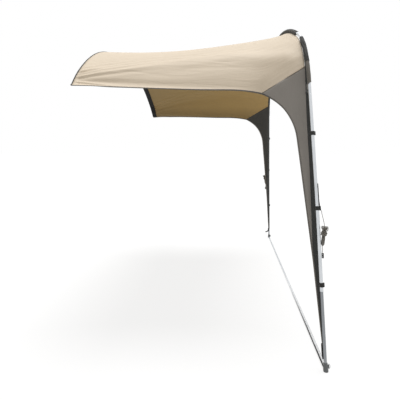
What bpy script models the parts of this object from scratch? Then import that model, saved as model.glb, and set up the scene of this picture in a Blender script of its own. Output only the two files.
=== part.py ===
"""Caravan canopy: a cloth roof and two leg gussets on a bent hoop pole.

The hoop's legs are telescopic, and a ground bar in two sliding halves joins the feet.
Frame: metres, +Z up, ground at z = 0, +Y towards the caravan or tent that holds the rear edge.
The origin is on the ground under the middle of the canopy. Left is -X.
"""
import math

import bmesh
import bpy
import numpy as np

LEFT, RIGHT = -1, 1
SIDES = {LEFT: "left", RIGHT: "right"}

# Canopy
canopy_depth = 1.625  # from the line of the feet to the middle of the rear edge
half_span = 1.501  # from the middle to a foot
feet_y = -canopy_depth / 2
gap = 0.0003  # between pieces that touch

# Hoop pole, from the ground up
leg_lean = math.radians(7.58)  # from the vertical
shoulder_lean = math.radians(11.18)
crown_lean = math.radians(62.72)
straight_leg = 0.70
leg_bend_length = 0.45
upper_straight = 0.579
elbow_radius = 0.557
hoop_rake = 0.0195  # metres back for each metre of height
crown_bow = 0.030  # of the crown's middle towards the rear, drawn back by the roof
bow_reach = 1.15  # from the middle, where the bow runs out
leg_bend_steps, elbow_steps, crown_steps = 4, 12, 10

# Tubes
pole_radius = 0.010
tube_wall = 0.0012
slide_clearance = 0.0003
pole_sides = 12
station_merge = 0.004  # shared stations nearer an end than this are left out
leg_tube_start = 0.434  # along the leg, where the upper tube ends
leg_joint = 1.64  # along the leg, where the elbow pole starts
leg_spigot_length = 0.16
crown_spigot_length = 0.14
spigot_clearance = 0.0005
lower_tube_top = 0.65  # along the leg

# Leg lock, inside the telescopic joint
lock_offset = 0.0006
lock_plug_length = 0.020
lock_flange_height = 0.003
lock_flange_radius = 0.0082
lock_pin_radius = 0.0045
lock_ring_radius = 0.0072
lock_ring_height = 0.008
lock_head_radius = 0.0062
lock_head_height = 0.003
lock_play = 0.0004  # above and below the ring

# Foot
foot_radius = 0.0148
foot_top_radius = 0.0122
foot_height = 0.045
foot_floor = 0.010
foot_skirt = 0.008
foot_chamfer = 0.001
foot_sides = 16
bar_height = 0.0105  # of the ground bar's axis
bar_socket_length = 0.045
spigot_root = 0.0028  # of the bar's spigot inside the foot's wall
bar_end_clearance = 0.0032
bar_overlap = 0.25
bar_split = 0.02  # from the middle to the outer tube's end

# Peg ring and the barrel that holds it
barrel_radius = 0.0042
barrel_height = 0.016
barrel_level = 0.027
barrel_reach = 0.0165
ring_wire = 0.0015
ring_bore_clearance = 0.0004
ring_half_height = 0.014
ring_reach = 0.009
ring_steps = 12

# Cloth
cloth = 0.0025
seam_top = 1.848  # along the leg, where roof, gusset and band meet
seam_rise = 1.640  # height of the seam's lower end
seam_end_inset = 0.375  # of the seam's lower end from the foot, across the span
seam_end_x = half_span - seam_end_inset
seam_end_y = 0.329  # behind the feet
roof_inset, roof_setback = 0.027, 0.013  # roof's front edge from the pole at the seam
crown_inset, crown_setback = 0.0168, 0.0080  # the same along the crown
rear_corner_inset = 0.251  # of the rear corners from the feet, across the span
rear_half_width = half_span - rear_corner_inset
rear_corner_height = 1.693
rear_corner_forward = 0.037  # of the corners from the apex
rear_apex_height = 2.148
rear_arch_power = 2.5
edge_slope = 0.0403
edge_ease = 0.22
edge_flare_power = 4
corner_droop, droop_power = 0.012, 8
edge_ease_power = 3
row_spread = 1.3
ridge_sag = 0.045
sag_skew = 1.3
front_dip, dip_reach = 0.024, 0.04  # behind the crown sleeve
edge_share = 3.0  # how fast the edge's shape fades towards the ridge
hem_fold, hem_level, hem_spread = 0.006, 0.05, 0.03
crease_depth = 0.007
crease_count = 4
crease_reach = 0.55
crease_start = 0.10

# Gusset and pole band
band_meeting_height = 0.60  # where the gusset runs out
band_meeting_inset = 0.129  # from the foot, across the span
band_meeting_x = half_span - band_meeting_inset
band_meeting_y = 0.050
gusset_taper = math.radians(5.47)
gusset_curve_radius = 0.40
gusset_curve_steps = 10
gusset_tip = 0.03  # the gusset's blunt end above the point where it would run out
seam_gap = 0.0006
seam_corner_gap = 0.0009
roof_gap = 0.0012  # between the band and the roof's front edge
band_inset, band_forward = 0.0128, 0.008  # of the band's front edge from the pole
band_end = 0.130  # along the leg
band_end_merge = 0.02
band_end_inset, band_end_back = 0.018, 0.016

# Edge binding
binding_width = 0.010
low_binding_width = 0.004  # round the gusset and down the band
binding_narrows = 0.15  # over this height below the seam's lower end
binding_thickness = 0.0035
binding_gap = 0.0007  # from the cloth's edge

# Rear edge
rear_band_width = 0.050
bead_radius = 0.0037

# Sleeves
sleeve_bore = 0.0112
crown_sleeve_radius = 0.0145
elbow_sleeve_radius = 0.0132
shoulder_sleeve_radius = 0.0130
flange_half = 0.0010
flange_root = 1.6  # its root is this much wider than its tip
bare_below_joint = 0.09
bare_above_joint = 0.07
shoulder_sleeve_start = 1.708
shoulder_sleeve_end = 1.866
gather_count = 8
gather_depth = 0.0012

# Webbing ties
tie_height = 0.025
tie_radius = 0.0132
tie_play = 0.0008  # round the pole, at the corners of its facets
tie_tab = 0.018
tie_levels = {LEFT: (1.36, 0.905, 0.467), RIGHT: (1.39, 0.96, 0.467)}
tape_thickness = 0.0015
tape_width = 0.015
tape_length = 0.165
tape_stand = 0.0246  # of its lower end from the pole's axis
tape_below_tie = 0.004
tie_gap_to_tape = 0.0006

# Strap and buckle at the top of the band
strap_top, strap_length, strap_width = 1.686, 0.064, 0.011
buckle_drop = 0.019  # from the strap's middle
strap_shift = 0.003  # from the middle of the band towards its rear edge
buckle_height, buckle_width, buckle_thickness = 0.026, 0.018, 0.0025
buckle_rim, buckle_bar = 0.0035, 0.0053
foot_strap_drop = {LEFT: 0.073, RIGHT: 0.050}
foot_strap_width = 0.018
foot_strap_thickness = 0.0015
foot_strap_tail = {LEFT: 0.004, RIGHT: 0.055}
foot_strap_back = {LEFT: 0.003, RIGHT: 0.006}  # of its middle from the leg's axis
foot_strap_inset = 0.0155  # clear of the foot when the leg is pushed in
tail_slant = (0.004, 0.006)

# Guy lines, each wound into a hank that hangs beside the leg
cord = 0.0035
hank_loops = 4
hank_pitch = 0.0041
hank_inner = 0.0090
hank_straight = 0.033
hank_layer_rise = 0.0042
hank_points = 24
hank_lead = 0.006
hank_tilt = math.radians(10.0)
hank_below_tape = {LEFT: 0.145, RIGHT: 0.115}  # of its middle from the tape's end
hank_stand = {LEFT: 0.040, RIGHT: 0.062}  # of its middle from the leg
runner_stand = 0.020
loop_bow = 3.0  # how quickly a loop's ends turn into its straight sides
runner_length, runner_width, runner_thickness = 0.030, 0.017, 0.005
runner_hole = 0.0022
runner_drop = 0.102  # from the hank's middle to the runner's top
guy_side = {LEFT: -1, RIGHT: 1}  # left hangs in front of the leg, right behind it

BEIGE, GREY, CHARCOAL = (0.74, 0.64, 0.51), (0.16, 0.15, 0.13), (0.045, 0.045, 0.04)
ALUMINIUM, STEEL, PLASTIC = (0.72, 0.74, 0.76), (0.55, 0.56, 0.57), (0.06, 0.06, 0.06)
LIGHT_GREY, CORD_GREY = (0.30, 0.29, 0.27), (0.22, 0.21, 0.20)


def unit(vector):
    return np.asarray(vector, float) / np.linalg.norm(vector)


def material(name, colour, roughness, metallic=0.0):
    made = bpy.data.materials.get(name)
    if made is None:
        made = bpy.data.materials.new(name)
        made.use_nodes = True
        shader = made.node_tree.nodes["Principled BSDF"]
        shader.inputs["Base Color"].default_value = (*colour, 1.0)
        shader.inputs["Roughness"].default_value = roughness
        shader.inputs["Metallic"].default_value = metallic
    return made


def link(name, data, finish):
    """Put a mesh or curve in the scene under its name, with its material."""
    made = bpy.data.objects.new(name, data)
    bpy.context.scene.collection.objects.link(made)
    data.materials.append(material(*finish))
    return made


def mesh_object(name, points, faces, finish, smooth=True):
    mesh = bpy.data.meshes.new(name)
    mesh.from_pydata([tuple(p) for p in points], [], [list(f) for f in faces])
    work = bmesh.new()
    work.from_mesh(mesh)
    bmesh.ops.recalc_face_normals(work, faces=work.faces)
    if work.calc_volume(signed=True) < 0:
        bmesh.ops.reverse_faces(work, faces=work.faces)
    work.to_mesh(mesh)
    work.free()
    if smooth:
        mesh.shade_smooth()
        mesh.set_sharp_from_angle(angle=math.radians(40))
    return link(name, mesh, finish)


def skin(name, outer, finish, inner=None, smooth=True, split=False):
    """A closed body through rings of points. With inner rings it is a tube with open ends.

    split cuts each cell of a twisted band into two triangles. The second half of a ring is the band's other face,
    and takes the diagonal that lies behind the first face's, so the band keeps its thickness.
    """
    outer = np.asarray(outer, float)
    count, around = outer.shape[:2]
    faces = []

    def wall(first):
        for i in range(count - 1):
            for j in range(around):
                k = (j + 1) % around
                a, b = first + i * around, first + (i + 1) * around
                if split and j < around // 2:
                    faces.extend([(a + j, a + k, b + k), (a + j, b + k, b + j)])
                elif split:
                    faces.extend([(a + j, a + k, b + j), (a + k, b + k, b + j)])
                else:
                    faces.append((a + j, a + k, b + k, b + j))

    wall(0)
    points = outer.reshape(-1, 3)
    last = (count - 1) * around
    if inner is None:
        faces.append(tuple(range(around)))
        faces.append(tuple(range(last, last + around)))
    else:
        shift = len(points)
        points = np.concatenate([points, np.asarray(inner, float).reshape(-1, 3)])
        wall(shift)
        for j in range(around):
            k = (j + 1) % around
            faces.append((j, k, shift + k, shift + j))
            faces.append((last + j, last + k, shift + last + k, shift + last + j))
    return mesh_object(name, points, faces, finish, smooth)


def sheet_body(name, grid, normals, thickness, finish):
    """A closed body of even thickness around a grid of points."""
    grid, normals = np.asarray(grid, float), np.asarray(normals, float)
    rows, columns = grid.shape[:2]
    top = (grid + normals * thickness / 2).reshape(-1, 3)
    under = (grid - normals * thickness / 2).reshape(-1, 3)
    shift = rows * columns
    faces = []
    for i in range(rows - 1):
        for j in range(columns - 1):
            a, b = i * columns + j, (i + 1) * columns + j
            for half in ((a, a + 1, b + 1), (a, b + 1, b)):
                faces.append(half)
                faces.append(tuple(shift + p for p in reversed(half)))
    rim = [j for j in range(columns)]
    rim += [i * columns + columns - 1 for i in range(1, rows)]
    rim += [(rows - 1) * columns + j for j in range(columns - 2, -1, -1)]
    rim += [i * columns for i in range(rows - 2, 0, -1)]
    for a, b in zip(rim, rim[1:] + rim[:1]):
        faces.append((b, a, shift + a, shift + b))
    return mesh_object(name, np.concatenate([top, under]), faces, finish)


def circle(radius, sides, offset=(0.0, 0.0)):
    turn = 2 * math.pi * np.arange(sides) / sides
    return np.stack([offset[0] + radius * np.cos(turn), offset[1] + radius * np.sin(turn)], -1)


def flanged_ring(radius, bore, tip, sides):
    """Outer and inner outlines of a ring with a flat flange whose edge is at tip."""
    reach, turn = math.hypot(*tip), math.atan2(tip[1], tip[0])
    root = math.asin(flange_half / radius) * flange_root
    others = [root + (2 * math.pi - 2 * root) * k / (sides - 1) for k in range(1, sides - 1)]
    lean = math.atan2(flange_half, reach)
    tip_length = math.hypot(reach, flange_half)
    outer = [(radius, -root), (tip_length, -lean), (tip_length, lean), (radius, root)]
    inner = [(bore, -root), (bore, -root / 3), (bore, root / 3), (bore, root)]
    outer += [(radius, a) for a in others]
    inner += [(bore, a) for a in others]

    def place(outline):
        return np.array([(r * math.cos(a + turn), r * math.sin(a + turn)) for r, a in outline])

    return place(outer), place(inner)


# The hoop's centre line

elbow_length = elbow_radius * (crown_lean - shoulder_lean)
elbow_start = straight_leg + leg_bend_length + upper_straight
elbow_end = elbow_start + elbow_length


def walk_hoop(distance, crown_radius):
    """Distance from the middle, height and lean of the pole, distance metres up from the ground."""
    x, z, lean = half_span, 0.0, leg_lean
    pieces = (
        (straight_leg, 0.0),
        (leg_bend_length, shoulder_lean - leg_lean),
        (upper_straight, 0.0),
        (elbow_length, crown_lean - shoulder_lean),
        (crown_radius * (math.pi / 2 - crown_lean), math.pi / 2 - crown_lean),
    )
    for length, turn in pieces:
        step = min(distance, length)
        if turn == 0.0:
            x -= step * math.sin(lean)
            z += step * math.cos(lean)
        else:
            radius = length / turn
            new_lean = lean + step / radius
            x += radius * (math.cos(new_lean) - math.cos(lean))
            z += radius * (math.sin(new_lean) - math.sin(lean))
            lean = new_lean
        distance -= step
        if distance <= 0:
            break
    return x, z, lean


crown_radius = walk_hoop(elbow_end, 1.0)[0] / math.cos(crown_lean)
hoop_top = elbow_end + crown_radius * (math.pi / 2 - crown_lean)


def hoop_y(x, z):
    return feet_y + hoop_rake * z + crown_bow * max(0.0, 1 - (x / bow_reach) ** 2) ** 2


def pole_frame(side, distance):
    """Centre of the pole and its axes: along (upwards), inward and back."""
    x, z, lean = walk_hoop(distance, crown_radius)
    centre = np.array([side * x, hoop_y(x, z), z])
    bow_slope = 4 * crown_bow * x / bow_reach**2 * max(0.0, 1 - (x / bow_reach) ** 2)
    climb = hoop_rake * math.cos(lean) + bow_slope * math.sin(lean)
    along = unit([-side * math.sin(lean), climb, math.cos(lean)])
    inward = np.array([-side * math.cos(lean), 0.0, -math.sin(lean)])
    back = np.cross(along, inward)
    return centre, along, inward, back * (1 if back[1] > 0 else -1)


def distance_at_height(height):
    low, high = 0.0, hoop_top
    for _ in range(50):
        middle = (low + high) / 2
        low, high = (middle, high) if walk_hoop(middle, crown_radius)[1] < height else (low, middle)
    return low


def grid_distances():
    """Stations that every piece on the hoop shares, so that their facets line up."""
    bend = np.linspace(straight_leg, straight_leg + leg_bend_length, leg_bend_steps + 1)
    elbow = np.linspace(elbow_start, elbow_end, elbow_steps + 1)
    crown = np.linspace(elbow_end, hoop_top, crown_steps + 1)
    return np.unique(np.round(np.concatenate([bend, elbow, crown]), 6))


def stations(start, end):
    inside = [d for d in grid_distances() if start + station_merge < d < end - station_merge]
    return [start, *inside, end]


def section(side, distance, outline, shift=0.0):
    """An outline of (inward, back) points set square across the pole."""
    centre, along, inward, back = pole_frame(side, distance)
    outline = np.asarray(outline, float)
    return centre + along * shift + outline[:, :1] * inward + outline[:, 1:] * back


def hoop_stations(side, start, end):
    """Stations up one side, or over the crown from left to right where side is None."""
    if side is not None:
        return [(side, d) for d in stations(start, end)]
    up = stations(start, hoop_top)
    return [(LEFT, d) for d in up] + [(RIGHT, d) for d in reversed(up[:-1])]


def tube_on_hoop(name, side, start, end, radius, bore, finish):
    places = hoop_stations(side, start, end)
    outer = [section(s, d, circle(radius, pole_sides)) for s, d in places]
    inner = [section(s, d, circle(bore, pole_sides)) for s, d in places]
    return skin(name, outer, finish, inner)


pole_bore = pole_radius - tube_wall
lower_radius = pole_bore - slide_clearance
lower_bore = lower_radius - tube_wall
ALLOY = ("anodised tube", ALUMINIUM, 0.35, 1.0)
ZINC = ("zinc plated steel", STEEL, 0.4, 1.0)
MOULDED = ("moulded plastic", PLASTIC, 0.5)


def hoop_pole():
    spigot = pole_bore - spigot_clearance
    tube_on_hoop("crown_pole", None, elbow_end + gap, None, pole_radius, pole_bore, ALLOY)
    for side, word in SIDES.items():
        tube_on_hoop(f"{word}_elbow_pole", side, leg_joint + gap, elbow_end, pole_radius, pole_bore, ALLOY)
        name = f"{word}_leg_upper_tube"
        tube_on_hoop(name, side, leg_tube_start, leg_joint, pole_radius, pole_bore, ALLOY)
        for piece, joint, length in (
            ("crown_spigot", elbow_end, crown_spigot_length),
            ("leg_spigot", leg_joint, leg_spigot_length),
        ):
            start, end = joint - length / 2, joint + length / 2
            tube_on_hoop(f"{word}_{piece}", side, start, end, spigot, spigot - tube_wall, ZINC)


def leg_lower_parts(side, word):
    """The lower tube and, in its top end, the eccentric lock."""
    start = foot_floor + gap
    tube_on_hoop(f"{word}_leg_lower_tube", side, start, lower_tube_top, lower_radius, lower_bore, ALLOY)
    flange = lower_tube_top + gap
    pin = flange + lock_flange_height
    ring = pin + lock_play
    head = ring + lock_ring_height + lock_play
    plug_radius = lower_bore - slide_clearance
    steps = (
        (lower_tube_top - lock_plug_length, plug_radius, 0.0),
        (flange, plug_radius, 0.0),
        (flange, lock_flange_radius, 0.0),
        (pin, lock_flange_radius, 0.0),
        (pin, lock_pin_radius, lock_offset),
        (head, lock_pin_radius, lock_offset),
        (head, lock_head_radius, lock_offset),
        (head + lock_head_height, lock_head_radius, lock_offset),
    )
    rings = [section(side, d, circle(r, pole_sides, (shift, 0.0))) for d, r, shift in steps]
    skin(f"{word}_lock_core", rings, MOULDED)
    levels = (ring, ring + lock_ring_height)
    outer = circle(lock_ring_radius, pole_sides, (2 * lock_offset, 0.0))
    inner = circle(lock_pin_radius + slide_clearance, pole_sides, (lock_offset, 0.0))
    skin(
        f"{word}_lock_ring",
        [section(side, d, outer) for d in levels],
        MOULDED,
        [section(side, d, inner) for d in levels],
    )


def cylinder(name, start, end, radius, sides, finish):
    """A plain cylinder between two points."""
    start, end = np.asarray(start, float), np.asarray(end, float)
    axis = unit(end - start)
    first = unit(np.cross(axis, (0.31, 0.52, 0.79)))
    second = np.cross(axis, first)
    outline = circle(radius, sides)
    rings = [p + outline[:, :1] * first + outline[:, 1:] * second for p in (start, end)]
    return skin(name, rings, finish)


def combine(target, tool, operation):
    """Join or cut with a second solid, which is then a hidden guide."""
    change = target.modifiers.new(tool.name, "BOOLEAN")
    change.operation = operation
    change.solver = "EXACT"
    change.object = tool
    tool.hide_render = True
    tool.display_type = "WIRE"


def foot(side, word):
    """Foot cup, with a spigot for the ground bar and a barrel for the peg ring."""
    ground_centre = pole_frame(side, 0.0)[0]
    flat = circle(foot_radius, foot_sides)
    turned = np.stack([-side * flat[:, 0], flat[:, 1], 0 * flat[:, 0]], -1)
    rings = [
        ground_centre + turned * (foot_radius - foot_chamfer) / foot_radius,
        section(side, foot_skirt, circle(foot_radius, foot_sides)),
        section(side, foot_height, circle(foot_top_radius, foot_sides)),
        section(side, foot_height, circle(pole_bore, foot_sides)),
        section(side, foot_floor, circle(pole_bore, foot_sides)),
    ]
    body = skin(f"{word}_foot", rings, MOULDED)
    inboard = np.array([-side, 0.0, 0.0])
    bar_axis = np.array([ground_centre[0], ground_centre[1], bar_height])
    bore = pole_bore if side == LEFT else lower_bore
    socket = cylinder(
        f"{word}_bar_spigot_guide",
        bar_axis + inboard * (foot_radius - spigot_root),
        bar_axis + inboard * (foot_radius + bar_end_clearance + bar_socket_length),
        bore - slide_clearance,
        pole_sides,
        MOULDED,
    )
    combine(body, socket, "UNION")
    middle = ring_axis(side)
    half = np.array([0.0, 0.0, barrel_height / 2])
    barrel = cylinder(
        f"{word}_barrel_guide", middle - half, middle + half, barrel_radius, foot_sides, MOULDED
    )
    combine(body, barrel, "UNION")
    wire_hole = cylinder(
        f"{word}_barrel_bore_guide",
        middle - 2 * half,
        middle + 2 * half,
        ring_wire + ring_bore_clearance,
        pole_sides,
        MOULDED,
    )
    combine(body, wire_hole, "DIFFERENCE")


def ring_axis(side):
    """Middle of the peg ring's hinge, in front of the foot."""
    centre = pole_frame(side, barrel_level)[0]
    return np.array([centre[0], centre[1] - barrel_reach, barrel_level])


def curve_tube(name, points, radius, finish, resolution=2, closed=False):
    """A round tube along points, as a curve with a bevel and filled ends."""
    data = bpy.data.curves.new(name, "CURVE")
    data.dimensions = "3D"
    data.bevel_depth = radius
    data.bevel_resolution = resolution
    data.use_fill_caps = not closed
    spline = data.splines.new("POLY")
    spline.points.add(len(points) - 1)
    for target, point in zip(spline.points, points):
        target.co = (*point, 1.0)
    spline.use_cyclic_u = closed
    return link(name, data, finish)


def peg_ring(side, word):
    """A wire D-ring whose straight side turns in the foot's barrel."""
    middle = ring_axis(side)
    turn = math.pi * np.arange(1, ring_steps) / ring_steps
    bow = np.stack([0 * turn, -ring_reach * np.sin(turn), -ring_half_height * np.cos(turn)], -1)
    straight = [(0, 0, z) for z in np.linspace(ring_half_height, -ring_half_height, 4)]
    points = np.concatenate([straight, bow]) + middle
    curve_tube(f"{word}_peg_ring", points, ring_wire, ZINC, 1, closed=True)


def ground_bar():
    """Two tubes in line between the feet. The right one slides in the left one."""
    y = feet_y
    end = half_span - foot_radius - bar_end_clearance
    spans = {
        LEFT: (-end, -bar_split, pole_radius, pole_bore),
        RIGHT: (end, -bar_split - bar_overlap, lower_radius, lower_bore),
    }
    for side, (start, stop, radius, bore) in spans.items():

        def rings(size):
            outline = circle(size, pole_sides)
            return [
                np.stack([0 * outline[:, 0] + x, y + outline[:, 0], bar_height + outline[:, 1]], -1)
                for x in (start, stop)
            ]

        skin(f"{SIDES[side]}_ground_bar", rings(radius), ALLOY, rings(bore))


# The cloth roof

COATED = ("coated polyester", BEIGE, 0.8)
GUSSET_CLOTH = ("grey coated polyester", GREY, 0.8)
WEBBING = ("charcoal webbing", CHARCOAL, 0.85)
LIGHT_WEBBING = ("light grey webbing", LIGHT_GREY, 0.8)
BINDING = ("grey binding tape", GREY, 0.85)


def front_offset(distance):
    """Inward and back offsets of the roof's front edge from the pole."""
    share = np.clip((distance - seam_top) / (elbow_end - seam_top), 0.0, 1.0)
    return (
        roof_inset + (crown_inset - roof_inset) * share,
        roof_setback + (crown_setback - roof_setback) * share,
    )


def front_edge(side, distance):
    centre, _, inward, back = pole_frame(side, distance)
    inset, setback = front_offset(distance)
    return centre + inward * inset + back * setback


rear_y = feet_y + canopy_depth
arch_x = np.linspace(0.0, rear_half_width, 200)
arch_rise = rear_apex_height - rear_corner_height
arch_z = rear_apex_height - arch_rise * (arch_x / rear_half_width) ** rear_arch_power
arch_run = np.concatenate([[0.0], np.cumsum(np.hypot(np.diff(arch_x), np.diff(arch_z)))])


def rear_edge(side, across):
    """Point of the rear arch, across from 0 at the apex to 1 at the corner."""
    run = across * arch_run[-1]
    z = np.interp(run, arch_run, arch_z)
    y = rear_y - rear_corner_forward * (rear_apex_height - z) / arch_rise
    return np.array([side * np.interp(run, arch_run, arch_x), y, z])


seam_start_y = front_edge(LEFT, seam_top)[1]
edge_run = rear_y - rear_corner_forward - seam_start_y
seam_share = (feet_y + seam_end_y - seam_start_y) / edge_run
rear_band_share = rear_band_width / edge_run


def lower_edge(side, back_share):
    """The roof's lower edge: down the seam, then back along the binding."""
    top = front_edge(side, seam_top)
    y = seam_start_y + back_share * edge_run
    if back_share <= seam_share:
        part = back_share / seam_share
        x = abs(top[0]) + (seam_end_x - abs(top[0])) * part
        return np.array([side * x, y, top[2] + (seam_rise - top[2]) * part])
    part = (back_share - seam_share) / (1 - seam_share)
    straight_run = (1 - seam_share) * edge_run
    ease = max(0.0, 1 - part * straight_run / edge_ease) ** edge_ease_power
    start = rear_corner_height + corner_droop - edge_slope * straight_run
    z = start + edge_slope * straight_run * part - corner_droop * part**droop_power
    z += (seam_rise - start) * ease
    x = seam_end_x + (rear_half_width - seam_end_x) * part**edge_flare_power
    return np.array([side * x, y, z])


def roof_folds(across, back_share):
    """Outward lift of the cloth: creases from the rear corners and a fold above the hem."""
    up = (1 - across) * arch_run[-1]
    forward = (1 - back_share) * edge_run
    spread = math.atan2(up, forward)
    distance = math.hypot(up, forward)
    fade = math.exp(-distance / crease_reach) * min(1.0, distance / crease_start)
    creases = crease_depth * math.sin(2 * crease_count * spread) * fade
    hem = hem_fold * math.exp(-(((up - hem_level) / hem_spread) ** 2)) * math.sin(math.pi * back_share)
    return creases - hem


def roof_point(side, distance, back_share):
    """Middle of the cloth at a station of the hoop and a share of the depth."""
    across = (hoop_top - distance) / (hoop_top - seam_top)
    front, rear = front_edge(side, distance), rear_edge(side, across)
    point = (1 - back_share) * front + back_share * rear
    straight = (1 - back_share) * front_edge(side, seam_top) + back_share * rear_edge(side, 1.0)
    weight = across**edge_share
    point = point + weight * (lower_edge(side, back_share) - straight)
    sag = ridge_sag * math.sin(math.pi * back_share**sag_skew)
    sag += front_dip * (1 - math.exp(-back_share / dip_reach)) * (1 - back_share)
    point[2] -= (1 - weight) * sag
    lift = roof_folds(across, back_share) if 0 < back_share < 1 and across < 1 else 0.0
    lean = walk_hoop(distance, crown_radius)[2]
    return point + lift * np.array([side * math.cos(lean), 0.0, math.sin(lean)])


def roof_columns():
    up = stations(seam_top, hoop_top)
    return [(LEFT, d) for d in up] + [(RIGHT, d) for d in reversed(up[:-1])]


def roof_rows():
    before = np.linspace(0.0, seam_share, 3)
    spread = np.linspace(0.0, 1.0, 9)[1:] ** row_spread
    middle = seam_share + (1 - rear_band_share - seam_share) * spread
    return [*before, *middle, 1.0]


def grid_normals(grid):
    """Normals of a grid of points, outward or upward."""
    along = np.gradient(grid, axis=0)
    across = np.gradient(grid, axis=1)
    normals = np.cross(across, along)
    normals /= np.linalg.norm(normals, axis=-1, keepdims=True)
    flip = np.sign((normals * (grid - [0.0, grid[..., 1].mean(), 1.0])).sum(-1, keepdims=True))
    return normals * flip


roof_grid = np.array([[roof_point(s, d, v) for s, d in roof_columns()] for v in roof_rows()])
roof_normals = grid_normals(roof_grid)


def roof():
    """The roof sheet, the attachment band under its rear edge and the bead behind it."""
    sheet_body("roof_sheet", roof_grid, roof_normals, cloth, COATED)
    under = roof_grid[-2:] - roof_normals[-2:] * (cloth + gap)
    sheet_body("rear_attachment_band", under, roof_normals[-2:], cloth, WEBBING)
    bead = roof_grid[-1] + np.array([0.0, bead_radius + gap, 0.0])
    curve_tube("rear_keder_bead", bead, bead_radius, WEBBING, 1)


# Gusset, pole band and edge binding


def gusset_frame(side):
    """Corner where the gusset runs out, its two axes in its plane and its normal."""
    corner = np.array([side * band_meeting_x, feet_y + band_meeting_y, band_meeting_height])
    top = front_edge(side, seam_top)
    up = unit(top - corner)
    to_seam_end = lower_edge(side, seam_share) - corner
    inward = unit(to_seam_end - up * np.dot(to_seam_end, up))
    normal = np.cross(up, inward)
    return corner, up, inward, normal * np.sign(normal[0] * side)


def gusset_curve(side):
    """Points and outward directions of the gusset's free edge, in its plane."""
    corner, up, inward, _ = gusset_frame(side)
    end = lower_edge(side, seam_share) - corner
    end = np.array([np.dot(end, up), np.dot(end, inward)])
    line = np.array([math.cos(gusset_taper), math.sin(gusset_taper)])
    square = np.array([-line[1], line[0]])
    reach = end - gusset_curve_radius * square
    along = np.dot(reach, line)
    start = along - math.sqrt(along**2 - np.dot(reach, reach) + gusset_curve_radius**2)
    centre = start * line + gusset_curve_radius * square
    first = math.atan2(*(start * line - centre)[::-1])
    last = math.atan2(*(end - centre)[::-1])
    turn = np.linspace(first, last, gusset_curve_steps + 1)
    points = centre + gusset_curve_radius * np.stack([np.cos(turn), np.sin(turn)], -1)
    outward = (centre - points) / gusset_curve_radius
    return points, outward


def in_gusset(side, flat):
    corner, up, inward, _ = gusset_frame(side)
    flat = np.asarray(flat, float)
    return corner + flat[..., :1] * up + flat[..., 1:] * inward


def gusset(side, word):
    corner, up, inward, normal = gusset_frame(side)
    curve = gusset_curve(side)[0]
    top = np.array([np.dot(front_edge(side, seam_top) - corner, up), 0.0])
    seam_end = curve[-1]
    seam_line = unit(seam_end - top)
    down = np.array([-abs(seam_line[1]), seam_line[0]])
    down = down if down[0] < 0 else -down
    clear = np.array([0.0, seam_gap])
    outline = [np.array([gusset_tip, seam_gap]), top + 2 * clear + down * seam_corner_gap]
    outline.append(seam_end + unit(curve[-2] - seam_end) * seam_corner_gap)
    outline += [p for p in curve[-2::-1]]
    outline.append(np.array([gusset_tip, gusset_tip * math.tan(gusset_taper)]))
    flat = in_gusset(side, outline)
    rings = [flat - normal * cloth / 2, flat + normal * cloth / 2]
    skin(f"{word}_leg_gusset", rings, GUSSET_CLOTH, smooth=False)


def band_edges(side, distance):
    """Front and rear edges of the pole band at a station of the leg."""
    centre, _, inward, back = pole_frame(side, distance)
    front = centre + inward * band_inset - back * band_forward
    corner, up, _, _ = gusset_frame(side)
    if distance > seam_top:
        rear = front_edge(side, distance)
        return front, rear - unit(rear - front) * roof_gap
    if centre[2] >= band_meeting_height:
        rear = corner + up * (centre[2] - corner[2]) / up[2]
        return front, rear
    low = pole_frame(side, band_end)
    bottom = low[0] + low[2] * band_end_inset + low[3] * band_end_back
    part = (centre[2] - bottom[2]) / (corner[2] - bottom[2])
    return front, bottom + (corner - bottom) * part


def band_distances():
    meeting = distance_at_height(band_meeting_height)
    inside = [d for d in grid_distances() if meeting < d < seam_top - band_end_merge]
    return [band_end, (band_end + meeting) / 2, meeting, *inside, seam_top, shoulder_sleeve_end]


def pole_band(side, word):
    rings = []
    for distance in band_distances():
        front, rear = band_edges(side, distance)
        along = pole_frame(side, distance)[1]
        across = unit(rear - front)
        rear = rear - across * seam_gap
        normal = unit(np.cross(across, along)) * cloth / 2
        rings.append([front + normal, rear + normal, rear - normal, front - normal])
    skin(f"{word}_pole_band", rings, WEBBING, smooth=False, split=True)


def binding_stations(side):
    """Edge point, direction out of the cloth and normal, from the rear corner down to the foot."""
    rows = roof_rows()
    column = 0 if side == LEFT else -1
    second = 1 if side == LEFT else -2
    places = []
    for row in range(len(rows) - 1, -1, -1):
        if rows[row] <= seam_share + 1e-6:
            break
        edge = roof_grid[row, column]
        out = unit(edge - roof_grid[row, second])
        places.append((edge, out, roof_normals[row, column]))
    _, up, inward, normal = gusset_frame(side)
    points, outward = gusset_curve(side)
    for point, out in zip(points[::-1], outward[::-1]):
        places.append((in_gusset(side, point), out[0] * up + out[1] * inward, normal))
    seam = len(places) - len(points)
    out = unit(places[seam][1] + places[seam - 1][1])
    places[seam] = (places[seam][0], out, places[seam][2])
    tip = in_gusset(side, [gusset_tip, gusset_tip * math.tan(gusset_taper)])
    places.append((tip, *places[-1][1:]))
    meeting = distance_at_height(band_meeting_height)
    for distance in (meeting - band_end_merge, (band_end + meeting) / 2, band_end):
        front, rear = band_edges(side, distance)
        out = unit(rear - front)
        across = unit(np.cross(out, pole_frame(side, distance)[1]))
        places.append((rear, out, across * np.sign(across[0] * side)))
    return places


def edge_binding(side, word):
    rings = []
    for edge, out, normal in binding_stations(side):
        near = edge + out * binding_gap
        share = np.clip((seam_rise - edge[2]) / binding_narrows, 0.0, 1.0)
        far = near + out * (binding_width + (low_binding_width - binding_width) * share)
        half = unit(normal) * binding_thickness / 2
        rings.append([near + half, far + half, far - half, near - half])
    skin(f"{word}_edge_binding", rings, BINDING, smooth=False, split=True)


# Sleeves on the hoop


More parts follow.
